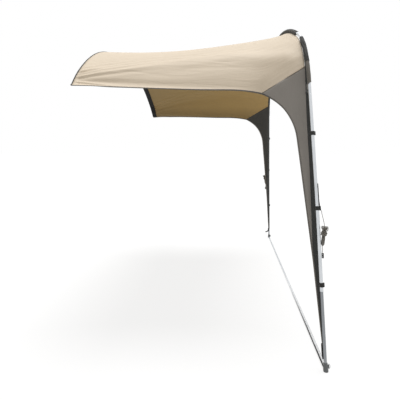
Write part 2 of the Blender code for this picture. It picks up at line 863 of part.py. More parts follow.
def sleeve_rings(places, radius, flanged, gathers=0):
    outer, inner = [], []
    for index, (side, distance) in enumerate(places):
        size = radius + gather_depth * (index % 2) if gathers else radius
        if flanged:
            inset, setback = front_offset(distance)
            tip = np.array([inset, setback - gap - seam_gap])
            ring, hole = flanged_ring(size, sleeve_bore, tip, pole_sides)
        else:
            ring, hole = circle(size, pole_sides), circle(sleeve_bore, pole_sides)
        outer.append(section(side, distance, ring))
        inner.append(section(side, distance, hole))
    return outer, inner


def sleeves():
    dark = ("charcoal sleeve cloth", CHARCOAL, 0.85)
    grey = ("grey sleeve cloth", GREY, 0.85)
    outer, inner = sleeve_rings(
        hoop_stations(None, elbow_end + bare_above_joint, None), crown_sleeve_radius, True
    )
    skin("crown_sleeve", outer, dark, inner)
    for side, word in SIDES.items():
        start, end = shoulder_sleeve_end + gap, elbow_end - bare_below_joint
        places = [(side, d) for d in np.linspace(start, end, 2 * gather_count + 1)]
        outer, inner = sleeve_rings(places, elbow_sleeve_radius, True, gather_count)
        skin(f"{word}_elbow_sleeve", outer, dark, inner)
        places = hoop_stations(side, shoulder_sleeve_start, shoulder_sleeve_end)
        outer, inner = sleeve_rings(places, shoulder_sleeve_radius, False)
        skin(f"{word}_shoulder_sleeve", outer, grey, inner)


# Webbing on the legs


def pole_ties(side, word):
    for number, level in enumerate(tie_levels[side], 1):
        middle = distance_at_height(level)
        reach = tie_tab
        if number == 2:
            reach = tape_stand_at(middle + tie_height / 2, side) - tape_thickness / 2 - tie_gap_to_tape
        away = guy_side[side] if number == 2 else -1
        outline, hole = flanged_ring(tie_radius, pole_radius + tie_play, (0.0, away * reach), pole_sides)
        levels = (middle - tie_height / 2, middle + tie_height / 2)
        skin(
            f"{word}_pole_tie_{number}",
            [section(side, d, outline) for d in levels],
            WEBBING,
            [section(side, d, hole) for d in levels],
        )


def tape_ends(side):
    """Stations along the leg of the guy tape's lower and upper ends."""
    lower = distance_at_height(tie_levels[side][1]) - tie_height / 2 - tape_below_tie
    return lower, lower + tape_length


def tape_stand_at(distance, side):
    """How far the guy tape stands from the pole's axis at a station of the leg."""
    lower, upper = tape_ends(side)
    part = (distance - lower) / (upper - lower)
    top = pole_radius + gap + tape_thickness / 2
    return tape_stand + (top - tape_stand) * part


def guy_tape(side, word):
    away, rings = guy_side[side], []
    top = pole_radius + gap + tape_thickness / 2
    for distance, stand in zip(tape_ends(side), (tape_stand, top)):
        half, thick = tape_width / 2, tape_thickness / 2
        near, far = stand - thick, stand + thick
        outline = np.array([(half, near), (half, far), (-half, far), (-half, near)]) * (1.0, away)
        rings.append(section(side, distance, outline))
    skin(f"{word}_guy_tape", rings, WEBBING, smooth=False)


def band_surface(side, height):
    """Middle of the band's outboard face at a height, with its axes: along, across and out."""
    distance = distance_at_height(height)
    front, rear = band_edges(side, distance)
    along = pole_frame(side, distance)[1]
    across = unit(rear - front)
    out = unit(np.cross(across, along))
    out = out * np.sign(out[0] * side)
    return (front + rear) / 2 + out * cloth / 2, unit(np.cross(out, across)), across, out


def plate(name, centre, axes, size, finish, lift):
    """A flat plate lying on a surface: size is its height, width and thickness."""
    along, across, out = axes
    height, width, thickness = size
    corners = [(-1, -1), (1, -1), (1, 1), (-1, 1)]
    flat = [centre + along * height / 2 * a + across * width / 2 * b for a, b in corners]
    rings = [np.array(flat) + out * lift, np.array(flat) + out * (lift + thickness)]
    return skin(name, rings, finish, smooth=False)


def band_fittings(side, word):
    """The adjuster strap and its ladder buckle near the top of the band."""
    centre, along, across, out = band_surface(side, strap_top - strap_length / 2)
    along = along * np.sign(along[2])
    shifted = centre + across * strap_shift
    strap = (strap_length, strap_width, tape_thickness)
    plate(f"{word}_band_strap", shifted, (along, across, out), strap, LIGHT_WEBBING, 2 * gap)
    buckle = (buckle_height, buckle_width, buckle_thickness)
    lift = 3 * gap + tape_thickness
    seat = shifted - along * buckle_drop
    body = plate(f"{word}_band_buckle", seat, (along, across, out), buckle, MOULDED, lift)
    window = (buckle_height / 2 - buckle_bar, buckle_width - 2 * buckle_rim, 3 * buckle_thickness)
    for number, shift in enumerate((-1, 1), 1):
        middle = seat + along * shift * (window[0] + buckle_rim) / 2
        axes = (along, across, out)
        name = f"{word}_buckle_slot_{number}_guide"
        combine(body, plate(name, middle, axes, window, MOULDED, lift - buckle_thickness), "DIFFERENCE")


def foot_strap(side, word):
    """The strap that hangs from the band's end beside the foot, with its loose tail."""
    centre, along, inward, back = pole_frame(side, band_end)
    tail = foot_strap_tail[side]
    low, high = -foot_strap_drop[side], -gap
    start = foot_strap_back[side] - foot_strap_width / 2
    end = start + foot_strap_width
    bottom = low + foot_strap_width
    outline = [(low, start), (high, start), (high, end), (bottom, end)]
    outline += [(bottom + tail_slant[1], end + tail), (low + tail_slant[0], end + tail), (low, end)]
    rings = []
    for depth in (foot_strap_inset, foot_strap_inset + foot_strap_thickness):
        rings.append([centre + along * a + back * b + inward * depth for a, b in outline])
    skin(f"{word}_foot_strap", rings, WEBBING, smooth=False)


# Guy lines


def hank_point(turns):
    """Width, height and depth in the hank, turns along the cord from its first straight run."""
    last = float(hank_loops)
    outer = hank_inner + hank_pitch * last / 2
    if turns < 0 or turns > last:
        over = -turns if turns < 0 else last - turns
        layer = 0.0 if turns < 0 else hank_layer_rise
        return np.array([outer, over, layer])
    half_width = outer - hank_pitch * (last / 2 - abs(turns - last / 2))
    angle = -2 * math.pi * turns
    ends = math.tanh(loop_bow * math.sin(angle)) / math.tanh(loop_bow)
    climb = np.clip((turns - (last / 2 - 0.25)) / 0.5, 0.0, 1.0)
    climb = climb * climb * (3 - 2 * climb)
    return np.array(
        [
            half_width * math.cos(angle),
            half_width * math.sin(angle) + hank_straight * ends,
            hank_layer_rise * climb,
        ]
    )


def hank_frame(side):
    """Middle of the hank and its axes: away from the leg, up and outboard."""
    away = guy_side[side]
    lower = tape_ends(side)[0]
    tape_end = pole_frame(side, lower)[0][2]
    centre = pole_frame(side, distance_at_height(tape_end - hank_below_tape[side]))[0]
    outboard = np.array([float(side), 0.0, 0.0])
    middle = centre + np.array([0.0, away * hank_stand[side], 0.0])
    up = np.array([0.0, away * math.sin(hank_tilt), math.cos(hank_tilt)])
    to_leg = np.array([0.0, -away * math.cos(hank_tilt), math.sin(hank_tilt)])
    return middle, to_leg, up, outboard


def in_hank(side, local):
    middle, to_leg, up, outboard = hank_frame(side)
    local = np.asarray(local, float)
    return middle + local[0] * to_leg + local[1] * up + (local[2] - hank_layer_rise / 2) * outboard


def hank_path(side):
    turns = np.linspace(0.0, hank_loops, hank_loops * hank_points + 1)
    local = [hank_point(t) for t in turns]
    outer = local[0][0]
    start = [(outer, h, 0.0) for h in (hank_straight + hank_lead, hank_straight / 2)]
    end = [(outer, -h, hank_layer_rise) for h in (hank_straight / 2, hank_straight + hank_lead)]
    return np.array([in_hank(side, p) for p in [*start, *local, *end]])


def least_gap(points, diameter):
    """Least gap of a tube to itself, between points more than a third of a loop apart."""
    apart = hank_points // 3
    steps = np.linalg.norm(points[:, None] - points[None], axis=-1)
    index = np.arange(len(points))
    far = np.abs(index[:, None] - index[None]) > apart
    return steps[far].min() - diameter


def smooth_route(route, spacing):
    """Points at an even spacing on a Catmull-Rom curve through the route's own points."""
    route = np.asarray(route, float)
    padded = np.concatenate([[2 * route[0] - route[1]], route, [2 * route[-1] - route[-2]]])
    fine = []
    for before, start, end, after in zip(padded, padded[1:], padded[2:], padded[3:]):
        for t in np.linspace(0.0, 1.0, 20, endpoint=False):
            fine.append(
                0.5
                * (
                    2 * start
                    + (end - before) * t
                    + (2 * before - 5 * start + 4 * end - after) * t**2
                    + (3 * start - before - 3 * end + after) * t**3
                )
            )
    fine = np.array([*fine, route[-1]])
    run = np.concatenate([[0.0], np.cumsum(np.linalg.norm(np.diff(fine, axis=0), axis=1))])
    count = max(3, int(round(run[-1] / spacing)) + 1)
    even = np.linspace(0.0, run[-1], count)
    return np.stack([np.interp(even, run, fine[:, k]) for k in range(3)], -1)


def guy_line(side, word):
    rope = ("guy cord", CORD_GREY, 0.9)
    away = guy_side[side]
    hank = hank_path(side)
    curve_tube(f"{word}_guy_hank", hank, cord / 2, rope, 1)
    print(f"{word} hank: least gap to itself {least_gap(hank, cord) * 1000:.2f} mm")
    middle, _, up, _ = hank_frame(side)
    lower = tape_ends(side)[0]
    centre, along, _, back = pole_frame(side, lower)
    exit_point = centre + back * away * tape_stand - along * gap
    hank_top = hank[0] + up * gap
    route = [
        exit_point,
        exit_point - along * 0.012,
        exit_point - along * 0.030 + (hank_top - exit_point) * np.array([1, 1, 0]) * 0.25,
        hank_top + up * 0.022,
        hank_top + up * 0.010,
        hank_top,
    ]
    curve_tube(f"{word}_guy_line_upper", smooth_route(route, 2.5 * cord), cord / 2, rope)
    hank_bottom = hank[-1] - up * gap
    runner_top = middle + np.array([0.0, -away * runner_stand, -runner_drop])
    route = [
        hank_bottom,
        hank_bottom - up * 0.010,
        (hank_bottom + runner_top) / 2 + np.array([0.0, away * 0.004, 0.0]),
        runner_top + np.array([0.0, 0.0, 0.010]),
        runner_top + np.array([0.0, 0.0, gap]),
    ]
    curve_tube(f"{word}_guy_line_lower", smooth_route(route, 2.5 * cord), cord / 2, rope)
    runner_middle = runner_top - np.array([0.0, 0.0, runner_length / 2])
    axes = (np.array([0.0, 0.0, 1.0]), np.array([0.0, 1.0, 0.0]), np.array([1.0, 0.0, 0.0]))
    size = (runner_length, runner_width, runner_thickness)
    body = plate(f"{word}_guy_runner", runner_middle, axes, size, MOULDED, -runner_thickness / 2)
    for number, height in enumerate((-1, 1), 1):
        point = runner_middle + np.array([0.0, 0.0, height * runner_length / 4])
        reach = np.array([runner_thickness, 0.0, 0.0])
        name = f"{word}_runner_hole_{number}_guide"
        hole = cylinder(name, point - reach, point + reach, runner_hole, 8, MOULDED)
        combine(body, hole, "DIFFERENCE")


def build():
    for old in list(bpy.data.objects):
        bpy.data.objects.remove(old, do_unlink=True)
    hoop_pole()
    ground_bar()
    roof()
    sleeves()
    for side, word in SIDES.items():
        leg_lower_parts(side, word)
        foot(side, word)
        peg_ring(side, word)
        gusset(side, word)
        pole_band(side, word)
        edge_binding(side, word)
        pole_ties(side, word)
        guy_tape(side, word)
        band_fittings(side, word)
        foot_strap(side, word)
        guy_line(side, word)


build()
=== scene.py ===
import math

import bpy
import numpy as np
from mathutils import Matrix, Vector


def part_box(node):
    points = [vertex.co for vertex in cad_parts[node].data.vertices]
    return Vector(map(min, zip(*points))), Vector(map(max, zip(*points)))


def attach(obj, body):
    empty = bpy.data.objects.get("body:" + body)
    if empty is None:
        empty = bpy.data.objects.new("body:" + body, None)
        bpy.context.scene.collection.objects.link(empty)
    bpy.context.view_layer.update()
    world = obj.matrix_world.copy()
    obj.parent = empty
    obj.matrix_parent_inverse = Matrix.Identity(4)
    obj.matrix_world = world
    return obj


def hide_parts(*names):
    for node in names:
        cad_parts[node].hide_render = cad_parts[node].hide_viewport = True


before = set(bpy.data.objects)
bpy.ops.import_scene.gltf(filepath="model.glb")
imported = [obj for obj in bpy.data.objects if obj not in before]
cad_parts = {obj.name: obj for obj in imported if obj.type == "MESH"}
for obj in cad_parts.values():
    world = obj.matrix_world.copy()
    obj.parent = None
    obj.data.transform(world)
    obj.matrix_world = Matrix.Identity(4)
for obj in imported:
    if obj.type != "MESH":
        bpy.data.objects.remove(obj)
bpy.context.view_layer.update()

# The camera, the floor and the light
# The view is from 1.27 m up and 2 m outside the left leg, across the hoop's whole span.
# The floor is plain and white, with one wide lamp above it and a pale sky all round.


def colour(code):
    """Linear colour of an sRGB hex code, by the standard curve."""
    part = [int(code[k : k + 2], 16) / 255 for k in (1, 3, 5)]
    return (*[p / 12.92 if p <= 0.04045 else ((p + 0.055) / 1.055) ** 2.4 for p in part], 1.0)


def feed(tree, node, inputs):
    """Give a node's sockets their values, or link them to the sockets they take."""
    for key, value in inputs.items():
        if isinstance(value, bpy.types.NodeSocket):
            tree.links.new(value, node.inputs[key])
        else:
            node.inputs[key].default_value = value


def add(tree, kind, inputs=None, **settings):
    """Add one node: settings are its own choices, and inputs feed its sockets."""
    made = tree.nodes.new(kind)
    for key, value in settings.items():
        setattr(made, key, value)
    feed(tree, made, inputs or {})
    return made


def reckon(tree, operation, *values):
    """The result of a node that calculates with numbers or sockets."""
    return add(tree, "ShaderNodeMath", dict(enumerate(values)), operation=operation).outputs[0]


def put(name, data):
    """Make an object of the data and put it into the scene."""
    made = bpy.data.objects.new(name, data)
    bpy.context.scene.collection.objects.link(made)
    return made


view_stand, view_turn = (-3.551, -0.2725, 1.272), 0.05  # metres, and radians from +X
half_width, focal_length = 200, 355.9  # pixels of a picture 400 wide
view = bpy.data.cameras.new("view")
view_place = put("view", view)
view_place.location = view_stand
ahead = Vector((math.cos(view_turn), math.sin(view_turn), 0.0))
view_place.rotation_euler = ahead.to_track_quat("-Z", "Y").to_euler()
view.sensor_fit = "HORIZONTAL"
view.angle = 2 * math.atan(half_width / focal_length)
view.shift_x, view.shift_y = -0.032, -0.13175
bpy.context.scene.camera = view_place
bpy.context.scene.view_settings.view_transform = "Standard"

lamp_strength, lamp_spread, lamp_aim = 2.35, math.radians(30), Vector((-0.16, 0.10, -1.0))
lamp = bpy.data.lights.new("wide lamp above", "SUN")
lamp.energy, lamp.angle = lamp_strength, lamp_spread
lamp_place = put("wide lamp above", lamp)
lamp_place.rotation_euler = lamp_aim.to_track_quat("-Z", "Y").to_euler()


def seen(tree):
    """1 for a ray from the camera, off gloss or through glass, and 0 for one that only lights."""
    ray = add(tree, "ShaderNodeLightPath").outputs
    share = ray["Is Camera Ray"]
    for kind in ("Is Glossy Ray", "Is Transmission Ray"):
        share = reckon(tree, "MAXIMUM", share, ray[kind])
    return share


sky_strength = 0.36
sky = bpy.data.worlds.new("pale sky")
bpy.context.scene.world = sky
sky.use_nodes = True
tree = sky.node_tree
tree.nodes.clear()
lit = add(tree, "ShaderNodeBackground", {"Color": colour("#F7F6F3"), "Strength": sky_strength})
shown = add(tree, "ShaderNodeBackground", {"Color": (1, 1, 1, 1), "Strength": 1.0})
either = add(tree, "ShaderNodeMixShader", {0: seen(tree), 1: lit.outputs[0], 2: shown.outputs[0]})
add(tree, "ShaderNodeOutputWorld", {0: either.outputs[0]})

floor_reach, floor_level = 60.0, -0.001
floor_mesh = bpy.data.meshes.new("floor")
floor_mesh.from_pydata([(x * floor_reach, y * floor_reach, floor_level)
                        for x, y in ((-1, -1), (1, -1), (1, 1), (-1, 1))], [], [(0, 1, 2, 3)])
floor = put("floor", floor_mesh)
# Matt paint that takes the object's shadow. Where it is seen it also glows, so that it looks plain white.
floor_grey, glow_strength, glow_share = 0.58, 1.35, 0.60
paint = bpy.data.materials.new("white painted floor")
paint.use_nodes = True
tree = paint.node_tree
tree.nodes.clear()
matt = add(tree, "ShaderNodeBsdfDiffuse", {"Color": (floor_grey, floor_grey, floor_grey, 1.0)})
glow = add(tree, "ShaderNodeEmission", {"Color": (1, 1, 1, 1), "Strength": glow_strength})
half = add(tree, "ShaderNodeMixShader", {0: glow_share, 1: matt.outputs[0], 2: glow.outputs[0]})
whole = add(tree, "ShaderNodeMixShader", {0: seen(tree), 1: matt.outputs[0], 2: half.outputs[0]})
add(tree, "ShaderNodeOutputMaterial", {0: whole.outputs[0]})
floor_mesh.materials.append(paint)

# Guy lines
# Each is about 3.3 m of 3.5 mm braided polyester cord, sewn to a tape on the leg.
# It is put away in a hank of eight loops, bound a third of the way down, with a plastic runner at its end.

left, right = -1, 1
sides = {left: "left", right: "right"}
# The hoop: half the feet's span, their place on Y, its lean back, and how far back and wide its crown bows.
half_span, feet_y, hoop_rake, crown_bow, bow_reach = 1.501, -0.8125, 0.0195, 0.030, 1.15
# Its leans inward from the ground up, and the runs and the bend between them.
leg_lean, shoulder_lean, crown_lean = np.radians([7.58, 11.18, 62.72])
straight_leg, leg_bend, upper_straight, elbow_radius = 0.70, 0.45, 0.579, 0.557
elbow_run = elbow_radius * (crown_lean - shoulder_lean)
elbow_end = straight_leg + leg_bend + upper_straight + elbow_run


def unit(vectors):
    """Each vector divided by its own length."""
    return vectors / np.linalg.norm(vectors, axis=-1, keepdims=True)


def walk(distance, crown_radius):
    """Distance from the middle, height and lean of the pole, distance metres up from the ground.

    The hoop is a row of straight runs and arcs. Along a run, x falls by the sine of the lean and z rises by
    its cosine. Along an arc, both change by the radius times the change of the lean's cosine and sine.
    """
    distance = np.asarray(distance, float)
    x, z, lean = half_span + 0 * distance, 0 * distance, leg_lean + 0 * distance
    passed, first = 0.0, leg_lean
    for run, turn in (
        (straight_leg, 0.0),
        (leg_bend, shoulder_lean - leg_lean),
        (upper_straight, 0.0),
        (elbow_run, crown_lean - shoulder_lean),
        (crown_radius * (math.pi / 2 - crown_lean), math.pi / 2 - crown_lean),
    ):
        step = np.clip(distance - passed, 0.0, run)
        if turn:
            radius = run / turn
            x = x + radius * (np.cos(first + step / radius) - np.cos(first))
            z = z + radius * (np.sin(first + step / radius) - np.sin(first))
            lean = lean + step / radius
        else:
            x, z = x - step * np.sin(first), z + step * np.cos(first)
        passed, first = passed + run, first + turn
    return x, z, lean


crown_radius = float(walk(elbow_end, 1.0)[0]) / math.cos(crown_lean)
hoop_top = elbow_end + crown_radius * (math.pi / 2 - crown_lean)


def pole(side, distance):
    """Centre of the pole and its directions along, inward and back, at each distance up from the ground.

    The hoop leans back evenly with height, and the roof draws its crown back by a bow, (1 - (x/reach)^2)^2.
    """
    x, z, lean = walk(distance, crown_radius)
    side = side + 0 * x
    bow = np.maximum(0.0, 1 - (x / bow_reach) ** 2)
    centre = np.stack([side * x, feet_y + hoop_rake * z + crown_bow * bow**2, z], -1)
    climb = hoop_rake * np.cos(lean) + 4 * crown_bow * x / bow_reach**2 * bow * np.sin(lean)
    along = unit(np.stack([-side * np.sin(lean), climb, np.cos(lean)], -1))
    inward = np.stack([-side * np.cos(lean), 0 * x, -np.sin(lean)], -1)
    back = np.cross(along, inward)
    return centre, along, inward, back * np.sign(back[..., 1:2])


height_steps = np.linspace(0.0, hoop_top, 4001)
heights = walk(height_steps, crown_radius)[1]
pole_radius, pole_bore = 0.010, 0.0088
seam = 0.0003  # the gap between pieces that touch
tie_height = 0.025
# The heights of each pole's ties, from the top one down.
tie_levels = {left: (1.36, 0.905, 0.467), right: (1.39, 0.96, 0.467)}
tape_length, tape_width, tape_stand, tape_below = 0.165, 0.015, 0.0246, 0.004
guy_side = {left: -1, right: 1}  # in front of the left leg, behind the right one
cord, cord_spacing = 0.0035, 0.0014
# The hank's loops: their number, reach up and down, half circles at top and bottom, how much lower the
# middle pairs hang, how far a turn lies behind the last one, and the pitch of packed strands.
loops, loop_top, loop_bottom = 8, 0.058, 0.048
fold, low_fold, middle_drop, layer_rise, strand_pitch = 0.0098, 0.0090, 0.006, 0.0048, 0.0037
# The binding: its top, half width, second layer and pitch, its turns down and in all, its outline's power.
binding_top, binding_half, binding_layer, binding_pitch = 0.031, 0.0114, 0.0036, 0.0038
binding_down, binding_count, binding_power = 7, 11.85, 2.6
# The hank's and the runner's places: how far down, and how far from the leg.
hank_tilt = math.radians(7)
hank_below, hank_stand = {left: 0.145, right: 0.115}, {left: 0.0275, right: 0.052}
runner_drop, runner_stand = 0.102, {left: 0.020, right: 0.042}


def at_height(height):
    """Distance up the pole at which it reaches a height, read off the hoop's own line."""
    return np.interp(height, heights, height_steps)


def tape_low(side):
    """Distance up the leg of the guy tape's lower end, just under the middle tie."""
    return at_height(tie_levels[side][1]) - tie_height / 2 - tape_below


def smooth(route, spacing):
    """Points evenly spaced on the centripetal Catmull-Rom curve through a route's own points.

    Between two points the curve is a cubic. Its slope at each comes from the three points round it, with
    the square root of their distances as the parameter, so that close and wide points mix without a kink.
    """
    route = np.asarray(route, float)
    padded = np.concatenate([[2 * route[0] - route[1]], route, [2 * route[-1] - route[-2]]])
    a, b, c, d = (padded[k : len(padded) - 3 + k, None] for k in range(4))
    first, mid, last = (np.linalg.norm(v, axis=-1, keepdims=True) ** 0.5 for v in (b - a, c - b, d - c))
    leaving = mid * ((b - a) / first - (c - a) / (first + mid)) + c - b
    arriving = mid * ((d - c) / last - (d - b) / (mid + last)) + c - b
    t = np.linspace(0.0, 1.0, 16, endpoint=False)[None, :, None]
    fine = (b + leaving * t + (3 * (c - b) - 2 * leaving - arriving) * t**2
            + (2 * (b - c) + leaving + arriving) * t**3)
    fine = np.concatenate([fine.reshape(-1, 3), route[-1:]])
    run = np.concatenate([[0.0], np.cumsum(np.linalg.norm(np.diff(fine, axis=0), axis=1))])
    even = np.linspace(0.0, run[-1], int(run[-1] / spacing) + 2)
    return np.stack([np.interp(even, run, fine[:, k]) for k in range(3)], -1)


def ease(value, start, end):
    """0 before start and 1 after end, by the cubic 3t^2 - 2t^3 between them."""
    t = np.clip((value - start) / (end - start), 0.0, 1.0)
    return t * t * (3 - 2 * t)


def hank_loops():
    """Width, height and depth of the hank's loops.

    A loop runs over a half circle at the top, down, round a half circle at the bottom and up. The tops lie
    one behind the other. At the waist the strands are packed four by four, and below it the loops hang in
    pairs, one inside the other, with the middle pairs lowest.
    """
    turn = np.linspace(0.0, loops - 0.20, 70 * loops)
    loop = np.floor(turn + 0.25)
    part = turn + 0.25 - loop
    near = np.where(part < 0.5, 1.0, -1.0)
    part = np.where(part < 0.5, part, 1 - part) / 0.5
    row, outer = loop // 2, loop % 2
    round_low = low_fold + strand_pitch * outer
    low = loop_bottom + strand_pitch * outer + middle_drop * (1.5 - np.abs(row - 1.5))
    arcs = math.pi / 2 * fold, math.pi / 2 * round_low
    straight = loop_top - fold + low - round_low
    run = part * (arcs[0] + straight + arcs[1])
    first, last = run / fold, (run - arcs[0] - straight) / round_low
    height = loop_top - fold - (run - arcs[0])
    splay, hang = ease(height, 0.026, 0.048), ease(-height, -0.006, 0.014)
    packed = strand_pitch * (0.5 + outer)
    width = (1 - splay) * ((1 - hang) * packed + hang * round_low) + splay * fold
    at_top, at_bottom = run < arcs[0], last > 0
    height = np.where(at_top, loop_top - fold + fold * np.cos(first), height)
    height = np.where(at_bottom, round_low - low - round_low * np.sin(last), height)
    width = np.where(at_top, fold * np.sin(first), np.where(at_bottom, round_low * np.cos(last), width))
    splay = np.where(at_top, 1.0, splay)
    depth = -splay * layer_rise * (turn - loops / 2) - (1 - splay) * strand_pitch * (row - 1.5)
    return np.stack([near * width, height, depth], -1)


def binding_turns():
    """Turns round the hank's waist, seven down and nearly five back up over them.

    Each is a rounded square, on which the 2.6th powers of width and depth add up to one, and it falls or
    climbs by a little more than a cord as it goes round.
    """
    turn = np.linspace(0.0, binding_count, 330)
    size = binding_half + binding_layer * ease(turn, binding_down - 0.5, binding_down + 0.4)
    angle = 2 * np.pi * turn - 0.6
    width, depth = (np.sign(v) * np.abs(v) ** (2 / binding_power) for v in (np.cos(angle), np.sin(angle)))
    fall = np.where(turn < binding_down, turn, 2 * binding_down - turn)
    return np.stack([size * width, binding_top - binding_pitch * fall, size * depth], -1)


def blank(name):
    """A new material, its nodes, its shader, and the object's own coordinates in metres."""
    made = bpy.data.materials.new(name)
    made.use_nodes = True
    tree = made.node_tree
    return made, tree, tree.nodes["Principled BSDF"], add(tree, "ShaderNodeTexCoord").outputs["Object"]


def stretched(tree, vector, *scale):
    """Coordinates times a scale on X, Y and Z, so that a pattern on them is drawn out."""
    return add(tree, "ShaderNodeMapping", {"Vector": vector, "Scale": scale}).outputs[0]


def noise(tree, vector, scale, detail, **more):
    """Smooth noise from 0 to 1, so many blotches to the metre, with layers of finer detail."""
    inputs = {"Vector": vector, "Scale": scale, "Detail": detail, **more}
    return add(tree, "ShaderNodeTexNoise", inputs).outputs["Fac"]


def remap(tree, value, start, end, low=0.0, high=1.0):
    """Low where the value is at the start, high where it is at the end, and even between them."""
    return add(tree, "ShaderNodeMapRange", {0: value, 1: start, 2: end, 3: low, 4: high}).outputs[0]


def blend(tree, share, first, second):
    """The first colour mixed with a share of the second."""
    return add(tree, "ShaderNodeMix", {0: share, 6: first, 7: second}, data_type="RGBA").outputs[2]


def dimmed(tree, code, share):
    """The colour of a hex code times a share."""
    inputs = {0: colour(code)[:3], "Scale": share}
    return add(tree, "ShaderNodeVectorMath", inputs, operation="SCALE").outputs[0]


def relief(tree, height, strength, distance, **more):
    """Bump from a height of 0 to 1 that stands for a distance in metres."""
    inputs = {"Height": height, "Strength": strength, "Distance": distance, **more}
    return add(tree, "ShaderNodeBump", inputs).outputs[0]


# Braided polyester: a soft, matt grey. Its strands, drawn about 2 mm apart so that they show, are light
# flecks between slanting dark gaps.
braid, tree, shader, where = blank("braided polyester cord")
strand = add(tree, "ShaderNodeTexWave", {"Vector": where, "Scale": 170.0, "Distortion": 6.0},
             bands_direction="DIAGONAL").outputs["Fac"]
fleck = remap(tree, reckon(tree, "MULTIPLY", noise(tree, where, 260.0, 2.0), strand), 0.12, 0.45)
feed(tree, shader, {
    "Base Color": blend(tree, fleck, colour("#5B5853"), colour("#B4AFA6")),
    "Normal": relief(tree, strand, 0.5, 0.0004), "Roughness": 0.85, "Sheen Weight": 0.15,
})


def moulded(name, code, roughness):
    """Moulded plastic: one colour, a spark texture in its bump, and scuffs a little lighter.

    The texture's grit is drawn about 0.5 mm wide, coarser than the real one, so that it shows.
    """
    made, tree, shader, where = blank(name)
    scuff = remap(tree, noise(tree, where, 90.0, 5.0), 0.50, 0.80, 0.0, 0.35)
    feed(tree, shader, {
        "Base Color": blend(tree, scuff, colour(code), colour("#8C8A86")),
        "Normal": relief(tree, noise(tree, where, 1800.0, 1.0), 0.25, 0.0002), "Roughness": roughness,
    })
    return made


nylon = moulded("moulded nylon", "#4A4B4B", 0.5)  # dark and half matt, with scuffed highlights
# Points that lead into the loops, over to the binding and away to the runner: width, height and depth.
lead_in = [(0.0143, 0.060, 0.0060), (0.0120, 0.042, 0.0092), (0.0050, 0.026, 0.0088)]
bridge = [(0.0112, 0.0430, -0.0180), (0.0117, 0.0370, -0.0160), (0.0113, 0.0328, -0.0118)]
leave = [
    (0.0090, 0.0215, -0.0162), (0.0165, 0.0175, -0.0125), (0.0194, 0.0090, -0.0060), (0.0190, -0.0040, 0.0),
    (0.0170, -0.0200, 0.0030), (0.0145, -0.0400, 0.0040), (0.0100, -0.0620, 0.0020),
    (0.0030, -0.0840, -0.0040),
]
wound = np.concatenate([lead_in, hank_loops(), bridge, binding_turns(), leave])

for side, word in sides.items():
    away = guy_side[side]
    centre, along, _, back = pole(side, tape_low(side))
    exit_point = centre + back * away * tape_stand - along * seam
    leg = pole(side, at_height(centre[2] - hank_below[side]))[0]
    middle = leg + [0.0, away * hank_stand[side], 0.0]
    to_leg = np.array([0.0, -away * math.cos(hank_tilt), math.sin(hank_tilt)])
    up = np.array([0.0, away * math.sin(hank_tilt), math.cos(hank_tilt)])
    runner_top = leg + [0.0, away * runner_stand[side], -runner_drop]
    route = np.concatenate([
        [exit_point, exit_point - along * 0.012],
        wound @ np.array([[side, 0.0, 0.0], up, to_leg]) + middle,
        [runner_top + [0.0, 0.0, 0.010], runner_top + [0.0, 0.0, seam]],
    ])
    points = smooth(route, cord_spacing)
    curve = bpy.data.curves.new(f"{word}_guy_line", "CURVE")
    curve.dimensions, curve.bevel_depth, curve.bevel_resolution = "3D", cord / 2, 3
    curve.use_fill_caps = True
    line = curve.splines.new("POLY")
    line.points.add(len(points) - 1)
    line.points.foreach_set("co", np.column_stack([points, np.ones(len(points))]).ravel())
    line.use_smooth = True
    curve.materials.append(braid)
    guy = put(f"{word}_guy_line", curve)
    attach(guy, "canopy")
    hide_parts(f"{word}_guy_line_upper", f"{word}_guy_hank", f"{word}_guy_line_lower")
    runner = bpy.data.objects[f"{word}_guy_runner"]
    runner.material_slots[0].material = nylon

# Roof
# One sheet of coated polyester, beige outside and tan inside, sewn in panels with no seam that shows.
# The hoop holds its front edge and the awning's rail its rear one; its sides end in a turned hem.

# The seam to the gusset: its top's run up the hoop, then its end's height, X, and Y from the feet.
seam_top, seam_rise, seam_end_x, seam_end_y = 1.848, 1.640, 1.126, 0.329
# The rear arch: its half width, the heights of its corners and top, and how far its corners come forward.
rear_half, rear_corner, rear_apex, rear_forward = 1.25, 1.693, 2.148, 0.037
rear_y = feet_y + 1.625
# The hem's climb per metre, its drop at the corner, and the run in which it leaves the gusset's curve.
hem_climb, corner_drop, hem_ease = 0.0403, 0.012, 0.22
ridge_sag, hoop_dip, roof_cloth = 0.045, 0.024, 0.0008


